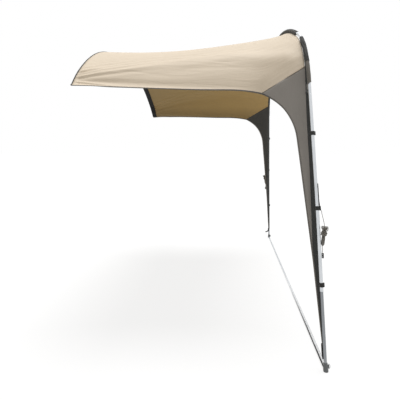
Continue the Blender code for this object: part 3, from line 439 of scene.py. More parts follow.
def skin(name, grid, *finishes, body="canopy", slot=None, around=True, loop=False, caps=False, facing=None,
         uv=None, angle=50):
    """A mesh over a grid of points: each cell between four neighbours is a face.

    around joins the last column to the first, loop the last row to the first, and caps close the first and
    last rows. Its UV map is the run across and along the grid in metres, unless another is given. A closed
    skin is turned so that its volume is positive, an open one so that it faces the given way.
    """
    grid = np.asarray(grid, float)
    rows, columns = grid.shape[:2]
    index = np.arange(rows * columns).reshape(rows, columns)
    across = np.linalg.norm(np.diff(np.concatenate([grid, grid[:, :1]], 1), axis=1), axis=2).mean(0)
    along = np.linalg.norm(np.diff(np.concatenate([grid, grid[:1]], 0), axis=0), axis=2).mean(1)
    runs = np.stack(np.meshgrid(np.concatenate([[0.0], np.cumsum(across)]),
                                np.concatenate([[0.0], np.cumsum(along)])), -1)
    if uv is not None:
        runs[:rows, :columns] = uv
    if around:
        index = np.concatenate([index, index[:, :1]], 1)
    if loop:
        index = np.concatenate([index, index[:1]], 0)
    tall, wide = index.shape
    cells = np.stack([index[:-1, :-1], index[:-1, 1:], index[1:, 1:], index[1:, :-1]], -1).reshape(-1, 4)
    runs = runs[:tall, :wide]
    corners = np.stack([runs[:-1, :-1], runs[:-1, 1:], runs[1:, 1:], runs[1:, :-1]], -2).reshape(-1, 2)
    faces = cells.tolist()
    if caps:
        faces += [index[0, :columns][::-1].tolist(), index[rows - 1, :columns].tolist()]
        corners = np.concatenate([corners, runs[0, :columns][::-1], runs[rows - 1, :columns]])
    mesh = bpy.data.meshes.new(name)
    mesh.from_pydata(grid.reshape(-1, 3), [], faces)
    mesh.uv_layers.new(name="run").uv.foreach_set("vector", corners.ravel())
    a, b, c, d = (grid.reshape(-1, 3)[cells[:, k]] for k in range(4))
    normals = np.cross(c - a, d - b)
    if facing is None:
        turned = ((a + c) / 2 * normals).sum() < 0
    else:
        turned = (normals * facing).sum() < 0
    if turned:
        mesh.flip_normals()
    mesh.shade_smooth()
    mesh.set_sharp_from_angle(angle=math.radians(angle))
    made = put(name, mesh)
    for finish in finishes:
        mesh.materials.append(finish)
    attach(made, body)
    return made


def fabric(name, node, grid, thickness, *finishes, **more):
    """An open skin with its thickness, half on each side, in place of a node.

    The first finish is for the side that faces the given way, and a second one for the other side.
    """
    made = skin(name, grid, *finishes, around=False, **more)
    wall = made.modifiers.new("thickness", "SOLIDIFY")
    wall.thickness, wall.offset, wall.use_even_offset = thickness, 0.0, True
    wall.material_offset = len(finishes) - 1
    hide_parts(node)
    return made


once_a_metre = 0.314  # the scale at which a wave texture has one ridge to the metre
stitch_length, stitch_share, stitch_half = 0.0045, 0.72, 0.0005


def woven(name, code, thread, roughness, sheen=0.0, mottle=0.06, patch=7.0, strength=0.3, streaks=0.0,
          stitches=(), fade=()):
    """Woven cloth on a UV map in metres.

    Two sets of ridges, a thread apart, cross and multiply into the weave's bump. Threads are drawn 0.9 mm
    apart on cloth, some three times as coarse as they are, so that they show. Slow noise and long slubs make
    the colour lighter and darker by the mottle. Streaks are the depth of slack, shallow folds in the bump.
    Stitches are dashes on lines at a fixed run across the cloth. Each fade paints light and shade along an
    axis: the axis, the places on it where it starts and ends, and the tone at both.
    """
    made, tree, shader, where = blank(name)
    run = add(tree, "ShaderNodeUVMap", uv_map="run").outputs[0]
    weave = reckon(tree, "MULTIPLY", *(
        add(tree, "ShaderNodeTexWave", {"Vector": run, "Scale": once_a_metre / thread, "Distortion": 0.4},
            bands_direction=way).outputs["Fac"]
        for way in ("X", "Y")
    ))
    slubs = noise(tree, stretched(tree, run, 160.0, 9.0, 1.0), 1.0, 2.0)
    value = -0.35  # takes the mix of patches, slubs and weave down to a middle near zero
    for layer, share in ((noise(tree, where, patch, 4.0), 0.7), (slubs, 0.3), (weave, 0.2)):
        value = reckon(tree, "MULTIPLY_ADD", layer, share, value)
    value = reckon(tree, "MULTIPLY_ADD", value, 2 * mottle, 1.0 - 0.3 * mottle)
    for axis, *tones in fade:
        place = add(tree, "ShaderNodeSeparateXYZ", {0: where}).outputs[axis]
        value = reckon(tree, "MULTIPLY", value, remap(tree, place, *tones))
    shown, height = dimmed(tree, code, value), weave
    if stitches:
        part = add(tree, "ShaderNodeSeparateXYZ", {0: run}).outputs
        beat = reckon(tree, "FRACT", reckon(tree, "MULTIPLY", part[1], 1 / stitch_length))
        dash = reckon(tree, "LESS_THAN", beat, stitch_share)
        for place in stitches:
            sewn = reckon(tree, "MULTIPLY", reckon(tree, "COMPARE", part[0], place, stitch_half), dash)
            shown = blend(tree, sewn, shown, colour("#77736C"))
            height = reckon(tree, "MULTIPLY_ADD", sewn, 1.5, height)
    normal = relief(tree, height, strength, thread / 2)
    if streaks:
        slack = noise(tree, stretched(tree, run, 15.0, 2.2, 1.0), 1.0, 3.0, Distortion=0.6)
        normal = relief(tree, slack, 1.0, streaks, Normal=normal)
    feed(tree, shader, {"Base Color": shown, "Normal": normal, "Roughness": roughness,
                        "Sheen Weight": sheen})
    return made


def edge_stand(distance):
    """How far the roof's front edge lies inward and back of the pole, evenly less up to the elbow's end."""
    share = np.clip((distance - seam_top) / (elbow_end - seam_top), 0.0, 1.0)
    return 0.027 - 0.0102 * share, 0.013 - 0.005 * share


def front_edge(side, distance):
    """The roof's front edge: the pole's line, moved by edge_stand."""
    inward_by, back_by = edge_stand(distance)
    centre, _, inward, back = pole(side, distance)
    return centre + inward * inward_by[..., None] + back * back_by[..., None]


arch_x = np.linspace(0.0, rear_half, 400)
arch_z = rear_apex - (rear_apex - rear_corner) * (arch_x / rear_half) ** 2.5
arch_run = np.concatenate([[0.0], np.cumsum(np.hypot(np.diff(arch_x), np.diff(arch_z)))])
edge_start_y = float(front_edge(left, np.array(seam_top))[1])
edge_run = rear_y - rear_forward - edge_start_y
seam_share = (feet_y + seam_end_y - edge_start_y) / edge_run


def rear_edge(side, across):
    """The rear arch, z falling with the 2.5th power of x, by run from its top to its corner."""
    x, z = (np.interp(across * arch_run[-1], arch_run, line) for line in (arch_x, arch_z))
    return np.stack([side * x, rear_y - rear_forward * (rear_apex - z) / (rear_apex - rear_corner), z], -1)


def lower_edge(side, depth):
    """The roof's lower edge: a straight seam down to the gusset's end, then a hem that eases out of the
    gusset's curve by a cube, climbs slightly and flares out to the corner by a fourth power."""
    top = front_edge(left, np.array(seam_top))
    early = depth / seam_share
    straight = (1 - seam_share) * edge_run
    part = np.clip((depth - seam_share) / (1 - seam_share), 0.0, 1.0)
    start = rear_corner + corner_drop - hem_climb * straight
    z = start + hem_climb * straight * part - corner_drop * part**8
    z = z + (seam_rise - start) * np.maximum(0.0, 1 - part * straight / hem_ease) ** 3
    x = seam_end_x + (rear_half - seam_end_x) * part**4
    on_seam = depth <= seam_share
    x = np.where(on_seam, -top[0] + (seam_end_x + top[0]) * early, x)
    z = np.where(on_seam, top[2] + (seam_rise - top[2]) * early, z)
    return np.stack([side * x, edge_start_y + depth * edge_run + 0 * x, z], -1)


# Creases: where each leaves the rear edge, its climb per metre forward, its width, height and reach.
creases = (
    (0.046, -0.13, 0.008, 0.0045, 0.32),
    (0.088, 0.31, 0.012, 0.0065, 0.50),
    (0.114, 0.45, 0.011, 0.0060, 0.45),
    (0.152, 0.36, 0.010, 0.0040, 0.28),
    (0.150, 0.52, 0.012, 0.0045, 0.50),
    (0.220, 0.50, 0.012, 0.0030, 0.40),
)
# By distance forward from the rear edge: the shoulder fold's run above the lower edge, the depth of the
# trough above the hem, and how far the hem hangs below its smooth line.
shoulder_up = ([0, 0.2, 0.4, 0.55, 0.7, 1.0, 1.1, 1.2, 1.3, 1.4, 1.52],
               [0.13, 0.165, 0.22, 0.26, 0.29, 0.33, 0.325, 0.30, 0.25, 0.19, 0.12])
trough_deep = [0, 0.25, 0.45, 0.85, 1.10], [0.0080, 0.0075, 0.0045, 0.0016, 0]
hem_drop = [0, 0.25, 0.45, 0.85, 1.05, 1.2], [0.0115, 0.0105, 0.0085, 0.0045, -0.0015, 0]


def bell(value, spread):
    """A bell one high: e to the minus square of the value over its spread."""
    return np.exp(-((value / spread) ** 2))


def roof_lift(across, depth):
    """How far the cloth lies out of its smooth shape.

    A broad, soft fold runs the roof's whole length where its top turns into its side. Each crease is a bell
    across a line that runs forward from the rear edge, fading with distance. The hem flares out below a
    shallow trough, and fine ripples lie along the side. All of it runs out at the cloth's edges.
    """
    up = (1 - across) * arch_run[-1]
    forward = (1 - depth) * edge_run
    broad = np.minimum(1.0, 0.25 + forward / 0.20) * ease(edge_run - forward, 0.0, 0.12)
    lift = 0.0150 * broad * bell(up - np.interp(forward, *shoulder_up), 0.085)
    along_hem = ease(edge_run * (1 - seam_share) - forward, 0.0, 0.15)
    lift = lift - np.interp(forward, *trough_deep) * along_hem * bell(up - 0.048 + 0.012 * forward, 0.027)
    for start, climb, width, height, reach in creases:
        off = (up - start - climb * forward) / (width * (1 + 2.2 * forward))
        lift = lift + height * (bell(off, 1.0) - 0.8 * bell(off + 1.7, 1.0)) * bell(forward, reach)
    ripple = np.sin(150 * up + 38 * forward + 4.0 * np.sin(5.1 * forward)) * np.sin(9.0 * forward + 23 * up)
    ripple = 0.0010 * ripple + 0.0015 * np.sin(74 * up - 9 * forward + 3.0 * np.sin(2.6 * forward))
    lift = lift + ripple * bell(up - 0.42, 0.17) * bell(forward - 0.80, 0.45)
    lift = lift * ease(up, 0.0, 0.012) * ease(forward, 0.0, 0.025) * ease(edge_run - forward, 0.0, 0.03)
    return lift + 0.0040 * along_hem * np.maximum(0.0, 1 - up / 0.022) ** 1.4


def roof_point(side, distance, depth):
    """The cloth between the hoop and the rear arch.

    Straight lines join front and rear. Towards the sides they move over to the lower edge by a cube: by its
    own line close to it, and by that line smoothed with a bell further up. Towards the ridge they sag by a
    half sine, plus a dip just behind the hoop. The hem hangs lower by its own table.
    """
    across = (hoop_top - distance) / (hoop_top - seam_top)
    up = (1 - across) * arch_run[-1]
    deep = depth[..., None]
    point = (1 - deep) * front_edge(side, distance) + deep * rear_edge(side, across)
    even = np.linspace(0, 1, 401)
    corner_lines = front_edge(1, np.array(seam_top)), rear_edge(1, 1.0)
    held = lower_edge(1, even) - (1 - even[:, None]) * corner_lines[0] - even[:, None] * corner_lines[1]
    blur = np.exp(-((np.linspace(-3, 3, 121)) ** 2) / 2)
    padded = np.concatenate([-held[60:0:-1], held, -held[-2:-62:-1]])
    eased = np.stack([np.convolve(padded[:, k], blur / blur.sum(), "valid") for k in range(3)], -1)
    near = bell(up, 0.07)[..., None]
    shift = [np.stack([np.interp(depth, even, line[:, k]) for k in range(3)], -1) for line in (held, eased)]
    shift = near * shift[0] + (1 - near) * shift[1]
    mirrored = np.stack([side + 0 * depth, 1 + 0 * depth, 1 + 0 * depth], -1)
    point = point + (across**3)[..., None] * shift * mirrored
    sag = ridge_sag * np.sin(np.pi * depth**1.3) + hoop_dip * (1 - np.exp(-depth / 0.04)) * (1 - depth)
    point[..., 2] -= (1 - across**3) * sag
    point[..., 2] -= np.interp((1 - depth) * edge_run, *hem_drop) * bell(up, 0.08)
    lean = walk(distance, crown_radius)[2]
    out = np.stack([side * np.cos(lean), 0 * lean, np.sin(lean)], -1)
    return point + out * roof_lift(across, depth)[..., None]


# Columns run from the left seam over the crown to the right one, closer near the seams, and rows from the
# hoop to the rear.
rising = seam_top + (hoop_top - seam_top) * np.linspace(0, 1, 188) ** 1.3
columns = np.concatenate([rising, rising[-2::-1]])
column_side = np.where(np.arange(len(columns)) < len(rising), left, right)
rows = np.concatenate([np.linspace(0, seam_share, 26), np.linspace(seam_share, 1, 96)[1:]])
distance, depth = np.meshgrid(columns, rows)
roof_grid = roof_point(column_side[None] + 0 * distance, distance, depth)

# Coated polyester: a close, smooth weave, half matt, that lies slack in long, shallow streaks. Its inside is
# tan, in part its coating and in part painted light that comes through, with painted light towards the front
# and painted shade to the rear and by the hem.
beige = woven("coated polyester, beige outside", "#E8D7BF", 0.0009, 0.62, sheen=0.08, mottle=0.05,
              patch=3.0, strength=0.12, streaks=0.005)
tan = woven("coated polyester, tan inside with painted light and shade", "#AE9058", 0.0009, 0.55, mottle=0.06, patch=3.0, strength=0.10,
            streaks=0.003, fade=(("Y", -0.75, 0.75, 1.20, 0.80), ("Z", 1.66, 1.80, 0.66, 1.0)))
roof = fabric("roof", "roof_sheet", roof_grid, roof_cloth, beige, tan, slot="roof_cloth", facing=(0, 0, 1))

# Rear attachment band and keder bead
# A 50 mm charcoal band is sewn under the roof's rear edge, and a round cord in a cloth sleeve, the bead,
# runs behind it and slides into the awning's rail.
band_depth, band_below, band_cloth, bead_radius = 0.050, 0.0033, 0.0016, 0.0037


def circle(turn):
    """Points at given angles on a circle of radius one."""
    return np.stack([np.cos(turn), np.sin(turn)], -1)


def ring(count):
    """Points evenly round a circle of radius one."""
    return circle(2 * np.pi * np.arange(count) / count)


# Polyester webbing: a coarse, matt weave with one row of stitches. The rear band's is painted near black for
# the roof's shade over it, and plain.
webbing = woven("charcoal polyester webbing", "#393A38", 0.0014, 0.8, sheen=0.1, mottle=0.12, patch=12.0,
                strength=0.6, stitches=(0.004,))
shaded_webbing = woven("webbing with painted shade", "#1F1F1E", 0.0014, 0.85, mottle=0.12, patch=12.0, strength=0.6)
distance, depth = np.meshgrid(columns, np.linspace(1 - band_depth / edge_run, 1, 12))
band_grid = roof_point(column_side[None] + 0 * distance, distance, depth)
outward = unit(np.cross(np.gradient(band_grid, axis=1), np.gradient(band_grid, axis=0)))
band_grid = np.swapaxes(band_grid - outward * band_below, 0, 1)
rear_band = fabric("rear_band", "rear_attachment_band", band_grid, band_cloth, shaded_webbing,
                   slot="charcoal_webbing", facing=(0, 0, 1))

back_way = np.array([0.0, 1.0, 0.0])
bead_line = roof_grid[-1] + (bead_radius + seam) * back_way
bead_up = unit(np.cross(np.gradient(bead_line, axis=0), back_way))
profile = bead_radius * ring(16)
bead_grid = bead_line[:, None] + profile[:, :1] * bead_up[:, None] + profile[:, 1:] * back_way
bead = skin("keder_bead", bead_grid, webbing, slot="charcoal_webbing", caps=True)
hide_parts("rear_keder_bead")

# Leg gussets
# A tall triangle of grey coated cloth on each side, painted near black inside for the shade there. It is
# sewn to the roof along a seam and to the pole band down the leg, and its free edge curves from the hem to a
# point at knee height.

# Where its low corner lies, Y from the feet, and its free edge's curve.
meeting_x, meeting_y, meeting = 1.372, 0.050, 0.60
curve_radius, curve_lean, curve_inset, line_points = 0.40, math.radians(5.47), 0.0056, 40
# Its lap under the band, how far in the band's rear edge lies low down, and between which heights that ends.
band_lap, band_inset, inset_full, inset_none = 0.003, 0.006, 1.10, 1.50
gusset_cloth, seam_over, seam_under = 0.0007, 0.003, (0.0020, 0.0042)


def gusset_frame(side):
    """Corner where the gusset runs out, and the directions up its edge, inward and out of its plane."""
    corner = np.array([side * meeting_x, feet_y + meeting_y, meeting])
    up = unit(front_edge(side, np.array(seam_top)) - corner)
    end = lower_edge(side, np.array(seam_share)) - corner
    inward = unit(end - up * np.dot(end, up))
    out = np.cross(up, inward)
    return corner, up, inward, out * np.sign(out[0] * side)


def gusset_curve(side, count):
    """The free edge in the gusset's plane, and the direction out of the cloth at each point.

    It is a line that leaves the band at 5.47 degrees, then an arc of 0.4 m that meets the seam's end. Its
    lower part lies a little inside that.
    """
    corner, up, inward, _ = gusset_frame(side)
    end = lower_edge(side, np.array(seam_share)) - corner
    end = np.array([np.dot(end, up), np.dot(end, inward)])
    line = np.array([math.cos(curve_lean), math.sin(curve_lean)])
    square = np.array([-line[1], line[0]])
    reach = end - curve_radius * square
    along = np.dot(reach, line)
    start = along - math.sqrt(along**2 - np.dot(reach, reach) + curve_radius**2)
    centre = start * line + curve_radius * square
    turn = np.linspace(*(math.atan2(*(p - centre)[::-1]) for p in (start * line, end)), count)
    arc = centre + curve_radius * circle(turn)
    climb = np.linspace(0.002, arc[0, 0], line_points, endpoint=False)
    flat = np.concatenate([climb[:, None] * [1.0, line[1] / line[0]], arc])
    flat[:, 1] -= curve_inset * (1 - ease(flat[:, 0], 0.70, 1.10))
    return flat, np.concatenate([np.tile(square, (line_points, 1)), (centre - arc) / curve_radius])


# The same coated polyester as the roof, in grey; its inside is painted nearly black as painted shade.
grey = woven("grey coated polyester", "#9F9992", 0.0009, 0.7, sheen=0.08, mottle=0.10, patch=6.0,
             strength=0.15, streaks=0.003)
black = woven("grey coated polyester, inside with painted shade", "#454440", 0.0009, 0.75, mottle=0.10, patch=6.0,
              strength=0.15)
for side, word in sides.items():
    corner, up, inward, out = gusset_frame(side)
    free, _ = gusset_curve(side, 60)
    top = np.dot(front_edge(side, np.array(seam_top)) - corner, up)
    bend = free[line_points, 0]
    climb = np.concatenate([free[:line_points, 0], bend + (top - bend) * np.linspace(0, 1, 60) ** 0.8])
    tuck = band_lap + band_inset * (1 - ease(climb, inset_full - meeting, inset_none - meeting))
    share = np.linspace(0, 1, 41)[None, :, None]
    flat = (1 - share) * np.stack([climb, -tuck], -1)[:, None] + share * free[:, None]
    a, b = flat[..., 0], flat[..., 1]
    inside = np.sin(np.pi * share[..., 0]) * np.clip((a - 0.03) / 0.3, 0, 1)
    inside = inside * np.clip((top - a) / 0.12, 0, 1)
    billow = 0.004 * inside * np.sin(5.2 * a + 9 * b) + 0.0016 * inside * np.sin(38 * b - 9 * a)
    grid = corner + a[..., None] * up + b[..., None] * inward + billow[..., None] * out
    # The last rows reach over the seam and tuck in under the roof.
    over = np.cross(unit(grid[-1, -1] - grid[-1, 0]), out)
    grid[-1] += seam_over * over * np.sign(over[2])
    grid[-2:] -= np.array(seam_under)[:, None, None] * out
    gusset = fabric(f"{word}_gusset", f"{word}_leg_gusset", grid, gusset_cloth, grey, black,
                    slot="gusset_cloth", facing=(side, 0, 0), uv=np.stack([b + 0.05, a], -1))

# Pole bands
# A flat 40 to 60 mm band of charcoal webbing down the inner side of each pole. Its rear edge carries the
# gusset, the ties hold it to the pole, and it ends over the foot.
band_low, band_high, band_thickness = 0.130, 1.866, 0.0018
front_inward, front_forward, end_inward, end_back = 0.0128, 0.008, 0.018, 0.016
edge_gap, rear_gap, band_bow = 0.0012, 0.0004, 0.0006


def band_frame(side, distance):
    """Front and rear edges of the band, and the directions across it and out of it.

    The front lies a fixed way from the pole. The rear lies on the gusset's line above knee height, and on a
    line to the band's narrow end below it, both a little further in low down. Above the seam it lies on the
    roof's front edge.
    """
    centre, along, inward, back = pole(side, distance)
    height = centre[..., 2:]
    front = centre + inward * front_inward - back * front_forward
    corner, up, _, _ = gusset_frame(side)
    on_gusset = corner + up * (height - corner[2]) / up[2]
    high = front_edge(side, distance)
    high = high - unit(high - front) * edge_gap
    low = pole(side, np.array(band_low))
    bottom = low[0] + low[2] * end_inward + low[3] * end_back
    on_line = bottom + (corner - bottom) * (height - bottom[2]) / (corner[2] - bottom[2])
    rear = np.where(height >= corner[2], on_gusset, on_line)
    rear = rear - back * band_inset * (1 - ease(height, inset_full, inset_none))
    rear = np.where((distance > seam_top)[:, None], high, rear)
    across = unit(rear - front)
    out = unit(np.cross(across, along))
    return front, rear, across, out * np.sign(out[:, :1] * side)


for side, word in sides.items():
    front, rear, across, out = band_frame(side, np.linspace(band_low, band_high, 120))
    share = np.linspace(0, 1, 9)[None, :, None]
    grid = (1 - share) * front[:, None] + share * (rear - across * rear_gap)[:, None]
    grid = grid + band_bow * np.sin(np.pi * share) * out[:, None]
    band = fabric(f"{word}_band", f"{word}_pole_band", grid, band_thickness, webbing,
                  slot="charcoal_webbing", facing=(side, 0, 0))

# Edge bindings
# A grey tape folded over the cloth's edge and stitched through: along the roof's lower edge, where it hangs
# below the hem, then round the gusset's curve and down the lower band, where it lies on the cloth.
half_width_at = [0.13, 0.62, 1.62, 1.66], [0.0030, 0.0050, 0.0050, 0.0058]  # heights, half widths
hem_out_by, lap_in_by, lap_high, lap_run = 0.0050, 0.0030, 1.66, 0.15
half_thick, more_on_lap = 0.0016, 0.0005
profile = np.sign(ring(16)) * np.abs(ring(16)) ** 0.6  # a rounded square
blur = np.array([0.25, 0.5, 0.25])
# Polyester tape: a matt weave with one row of stitches, with painted light down the gusset and painted shade
# along the hem.
tape = woven("grey binding tape", "#6E6A64", 0.0012, 0.8, sheen=0.1, mottle=0.10, patch=14.0, strength=0.5,
             stitches=(0.004,), fade=(("Z", 1.50, 1.63, 1.45, 0.85),))
for side, word in sides.items():
    # The roof's columns from this side's hem, its rows from the rear corner down to the gusset's end.
    mine = roof_grid[rows > seam_share + 1e-6][::-1, :: -side]
    hem, hem_out = mine[:, 0], unit(mine[:, 0] - mine[:, 5])
    hem_normal = unit(np.cross(hem_out, np.gradient(hem, axis=0)))
    corner, up, inward, plane = gusset_frame(side)
    flat, flat_out = (v[::-1] for v in gusset_curve(side, 40))
    down = np.linspace(at_height(meeting) - 0.02, band_low, 24)
    _, rear, across, band_normal = band_frame(side, down)
    edge = np.concatenate([hem, corner + flat[:, :1] * up + flat[:, 1:] * inward, rear])
    out = np.concatenate([hem_out, flat_out[:, :1] * up + flat_out[:, 1:] * inward, across])
    normal = np.concatenate([hem_normal * np.sign(hem_normal[:, :1] * side), np.tile(plane, (len(flat), 1)),
                             band_normal])
    out, normal = (
        unit(np.stack([np.convolve(np.pad(v[:, k], 1, mode="edge"), blur, "valid") for k in range(3)], -1))
        for v in (out, normal)
    )
    lap = ease(lap_high - edge[:, 2], 0.0, lap_run)[:, None, None]
    middle = hem_out_by * (1 - lap) - lap_in_by * lap
    half = np.interp(edge[:, 2], *half_width_at)[:, None, None]
    grid = (edge[:, None] + out[:, None] * (middle + half * profile[:, :1])
            + normal[:, None] * (half_thick + more_on_lap * lap) * profile[:, 1:])
    binding = skin(f"{word}_binding", grid, tape, slot="binding_tape", caps=True)
    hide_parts(f"{word}_edge_binding")

# Sleeves
# Cloth tunnels sewn to the roof's front edge, which the hoop is threaded through: a charcoal one over the
# crown, a gathered charcoal one round each elbow and a plain grey one on each shoulder.
sleeve_bore, crown_sleeve_radius = 0.0112, 0.0142
elbow_sleeve_radius, shoulder_sleeve_radius = 0.0136, 0.0130
crown_gap, elbow_gap = 0.07, 0.09  # from the poles' joint to the sleeves above and below it
gather_pitch, least_fold, edge_short = 0.0125, 0.0122, 0.0009
shoulder_low, shoulder_high, shoulder_slant = 1.708, 1.866, 0.0080
# Uncoated polyester: a rougher weave than the roof's, matt, with light and dark flecks. The grey is plainer.
sleeve_cloth = woven("charcoal sleeve cloth", "#323230", 0.0012, 0.8, sheen=0.10, mottle=0.45, patch=45.0,
                     strength=0.5)
shoulder_cloth = woven("grey sleeve cloth", "#77726B", 0.0012, 0.8, sheen=0.1, mottle=0.10, patch=20.0,
                       strength=0.4)


def both_ways(near, beyond):
    """Angles round from a tab, both ways, close together beside it, and how far each is from it."""
    off = np.concatenate([near, beyond])
    other = off[1:-1][::-1]
    return np.concatenate([off, 2 * np.pi - other]), np.concatenate([off, other])


def flanged(radius, distance, sides_round, wobble):
    """Outline of a tunnel round the pole whose two cloths run together just short of the roof's front edge.

    It is a circle drawn out towards the edge: each point lies at the radius, or further out by a narrow
    bell round the edge's direction.
    """
    tip = np.stack(edge_stand(distance), -1) - [0.0, edge_short]
    reach, aim = np.linalg.norm(tip, axis=1)[:, None], np.arctan2(tip[:, 1], tip[:, 0])[:, None]
    turn, off = both_ways([0.0, 0.05, 0.16, 0.30], np.linspace(0.5, np.pi, sides_round // 2))
    size = radius + wobble
    size = size + (reach - size) * bell(off, 0.13)
    return size[..., None] * circle(turn + aim)


def along_hoop(side, distance, outline):
    """Rings of (inward, back) points, set square across the pole at each distance."""
    centre, _, inward, back = pole(side, distance)
    return centre[:, None] + outline[..., :1] * inward[:, None] + outline[..., 1:] * back[:, None]


def over_crown(path):
    """Side and distance up it, for a path that runs up the left side, over the crown and down the right."""
    return np.where(path <= hoop_top, left, right), np.minimum(path, 2 * hoop_top - path)


def hollow(name, node, outer, inner, finish, slot, body="canopy"):
    """A skin up the outside and back down the bore, joined at both ends, in place of a node."""
    made = skin(name, np.concatenate([outer, inner[::-1]]), finish, body=body, slot=slot, loop=True)
    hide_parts(node)


def tunnel(name, node, side, distance, outline, bore, finish, slot, body="canopy"):
    """A hollow piece round the pole, with an outline and a round bore."""
    inside = bore * circle(np.arctan2(outline[..., 1], outline[..., 0]))
    hollow(name, node, along_hoop(side, distance, outline), along_hoop(side, distance, inside), finish, slot,
           body)


path = np.linspace(elbow_end + crown_gap, 2 * hoop_top - elbow_end - crown_gap, 260)
path_side, path_up = over_crown(path)
wobble = 0.0005 * np.sin(60 * path)[:, None] * np.sin(17 * path + 1)[:, None]
tunnel("crown_tunnel", "crown_sleeve", path_side, path_up,
       flanged(crown_sleeve_radius, path_up, 28, wobble), sleeve_bore, sleeve_cloth, "charcoal_sleeve")
for side, word in sides.items():
    distance = np.linspace(shoulder_high + seam, elbow_end - elbow_gap, 260)
    climb = distance[:, None]
    gather = np.sin(2 * np.pi * climb / gather_pitch + 1.6 * np.sin(23 * climb))
    outline = flanged(elbow_sleeve_radius, distance, 48, 0.0004 * gather)
    round_pole = np.arctan2(outline[..., 1], outline[..., 0])
    folds = np.sin(5 * round_pole + 30 * climb + 1.2 * gather) * (0.6 + 0.4 * np.sin(47 * climb))
    folds = folds + 0.5 * np.sin(9 * round_pole - 41 * climb + 2)
    puckers = gather * np.sin(2 * round_pole + 60 * climb)
    outline = outline * (1 + 0.07 * folds + 0.035 * puckers)[..., None]
    size = np.linalg.norm(outline, axis=-1, keepdims=True)
    tunnel(f"{word}_elbow_tunnel", f"{word}_elbow_sleeve", side, distance,
           outline * np.maximum(size, least_fold) / size, sleeve_bore, sleeve_cloth, "charcoal_sleeve")
    distance = np.linspace(shoulder_low, shoulder_high, 40)
    share = (shoulder_high - distance)[:, None] / (shoulder_high - shoulder_low)
    slant = pole(side, distance)[1][:, None] * (-shoulder_slant * share * ring(32)[:, 1])[..., None]
    swell = shoulder_sleeve_radius + 0.0003 * np.sin(90 * distance)
    outer, inner = (along_hoop(side, distance, ring(32) * size[:, None, None]) + slant
                    for size in (swell, np.full(40, sleeve_bore)))
    hollow(f"{word}_shoulder_tunnel", f"{word}_shoulder_sleeve", outer, inner, shoulder_cloth, "grey_sleeve")

# Hoop poles
# Drawn aluminium tube, 20 mm, satin anodised: a crown, two bent elbows and two leg tubes, with zinc plated
# spigots inside the joints.
lip_round, lip_length = 0.0004, 0.0006
upper_tube_low, elbow_start = 0.434, 1.6403


def metal(name, code, roughness, grain, painted_shade=None):
    """Drawn or plated metal: fine lines along the tube in its bump, and roughness that wanders.

    The lines are drawn 1 to 2 mm apart, far coarser than the real ones, so that they show. A painted shade
    is a dark colour, painted matt and not metal, the height below which it lies, with a ragged edge, and the
    places on X between which it fades.
    """
    made, tree, shader, where = blank(name)
    lines = noise(tree, stretched(tree, where, grain, grain, grain / 60), 1.0, 3.0)
    smear = noise(tree, where, 14.0, 4.0)
    rough = remap(tree, smear, 0.3, 0.7, roughness - 0.06, roughness + 0.08)
    tint, bare = dimmed(tree, code, remap(tree, smear, 0.35, 0.75, 1.0, 0.93)), 1.0
    # Painted shade: below a height near the foot, the tube is painted dark, matt and not metal.
    if painted_shade:
        dark, level, full, none = painted_shade
        place = add(tree, "ShaderNodeSeparateXYZ", {0: where}).outputs
        ragged = reckon(tree, "MULTIPLY_ADD", smear, 0.004, place["Z"])
        shade_fade = remap(tree, place["X"], full, none, 1.0, 0.0)
        shade_share = remap(tree, ragged, level - 0.001, level + 0.001, shade_fade, 0.0)
        tint = blend(tree, shade_share, tint, colour(dark))
        rough = add(tree, "ShaderNodeMix", {0: shade_share, 2: rough, 3: 0.9}).outputs[0]
        bare = reckon(tree, "SUBTRACT", 1.0, shade_share)
    feed(tree, shader, {"Base Color": tint, "Metallic": bare, "Roughness": rough,
                        "Normal": relief(tree, lines, 0.25, 0.0002)})
    return made


def with_lips(start, end, count):
    """Distances from start to end, with three close together at each end for the lip."""
    middle = np.linspace(start + 0.0008, end - 0.0008, count)
    return np.concatenate([[start, start + 0.0002], middle, [end - 0.0002, end]])


def tube(name, node, side, distance, radius, bore, finish, body="canopy"):
    """A tube up the hoop with slightly rounded lips, in place of a node."""
    lip = np.minimum(distance - distance.min(), distance.max() - distance)
    outer = radius - lip_round * np.clip(1 - lip / lip_length, 0, 1) ** 2
    tunnel(name, node, side, distance, ring(40) * outer[:, None, None], bore, finish, "alloy_tube", body)


satin = metal("satin anodised aluminium", "#D3D6D9", 0.36, 900.0)  # pale, with soft, long highlights
zinc = metal("zinc plated steel", "#B9BCC0", 0.38, 500.0)  # greyer, with coarser lines
path = with_lips(elbow_end + seam, 2 * hoop_top - elbow_end - seam, 130)
tube("crown_tube", "crown_pole", *over_crown(path), pole_radius, pole_bore, satin)
for side, word in sides.items():
    tube(f"{word}_elbow_tube", f"{word}_elbow_pole", side, with_lips(elbow_start, elbow_end, 60),
         pole_radius, pole_bore, satin)
    tube(f"{word}_upper_tube", f"{word}_leg_upper_tube", side,
         with_lips(upper_tube_low, elbow_start - seam, 60), pole_radius, pole_bore, satin)
    for node in ("crown_spigot", "leg_spigot"):
        bpy.data.objects[f"{word}_{node}"].material_slots[0].material = zinc

# Lower legs, locks, feet and peg rings
# A thinner tube slides in each leg tube and is held by a plastic cam lock inside it. Its foot is moulded
# nylon, with a wire ring for a peg, and the lower tube moves with the leg.
inner_radius, inner_bore, inner_low, inner_high = 0.0085, 0.0073, 0.0103, 0.65
dull_satin = metal("dull anodised aluminium", "#8F9295", 0.42, 900.0)  # darker grey than the upper tubes
grey_nylon = moulded("grey moulded nylon", "#727577", 0.45)  # paler than the locks, weathered on the ground
for side, word in sides.items():
    tube(f"{word}_lower_tube", f"{word}_leg_lower_tube", side, with_lips(inner_low, inner_high, 40),
         inner_radius, inner_bore, dull_satin, f"{word}_leg")
    finishes = {"lock_core": nylon, "lock_ring": nylon, "foot": grey_nylon, "peg_ring": zinc}
    for node, finish in finishes.items():
        bpy.data.objects[f"{word}_{node}"].material_slots[0].material = finish
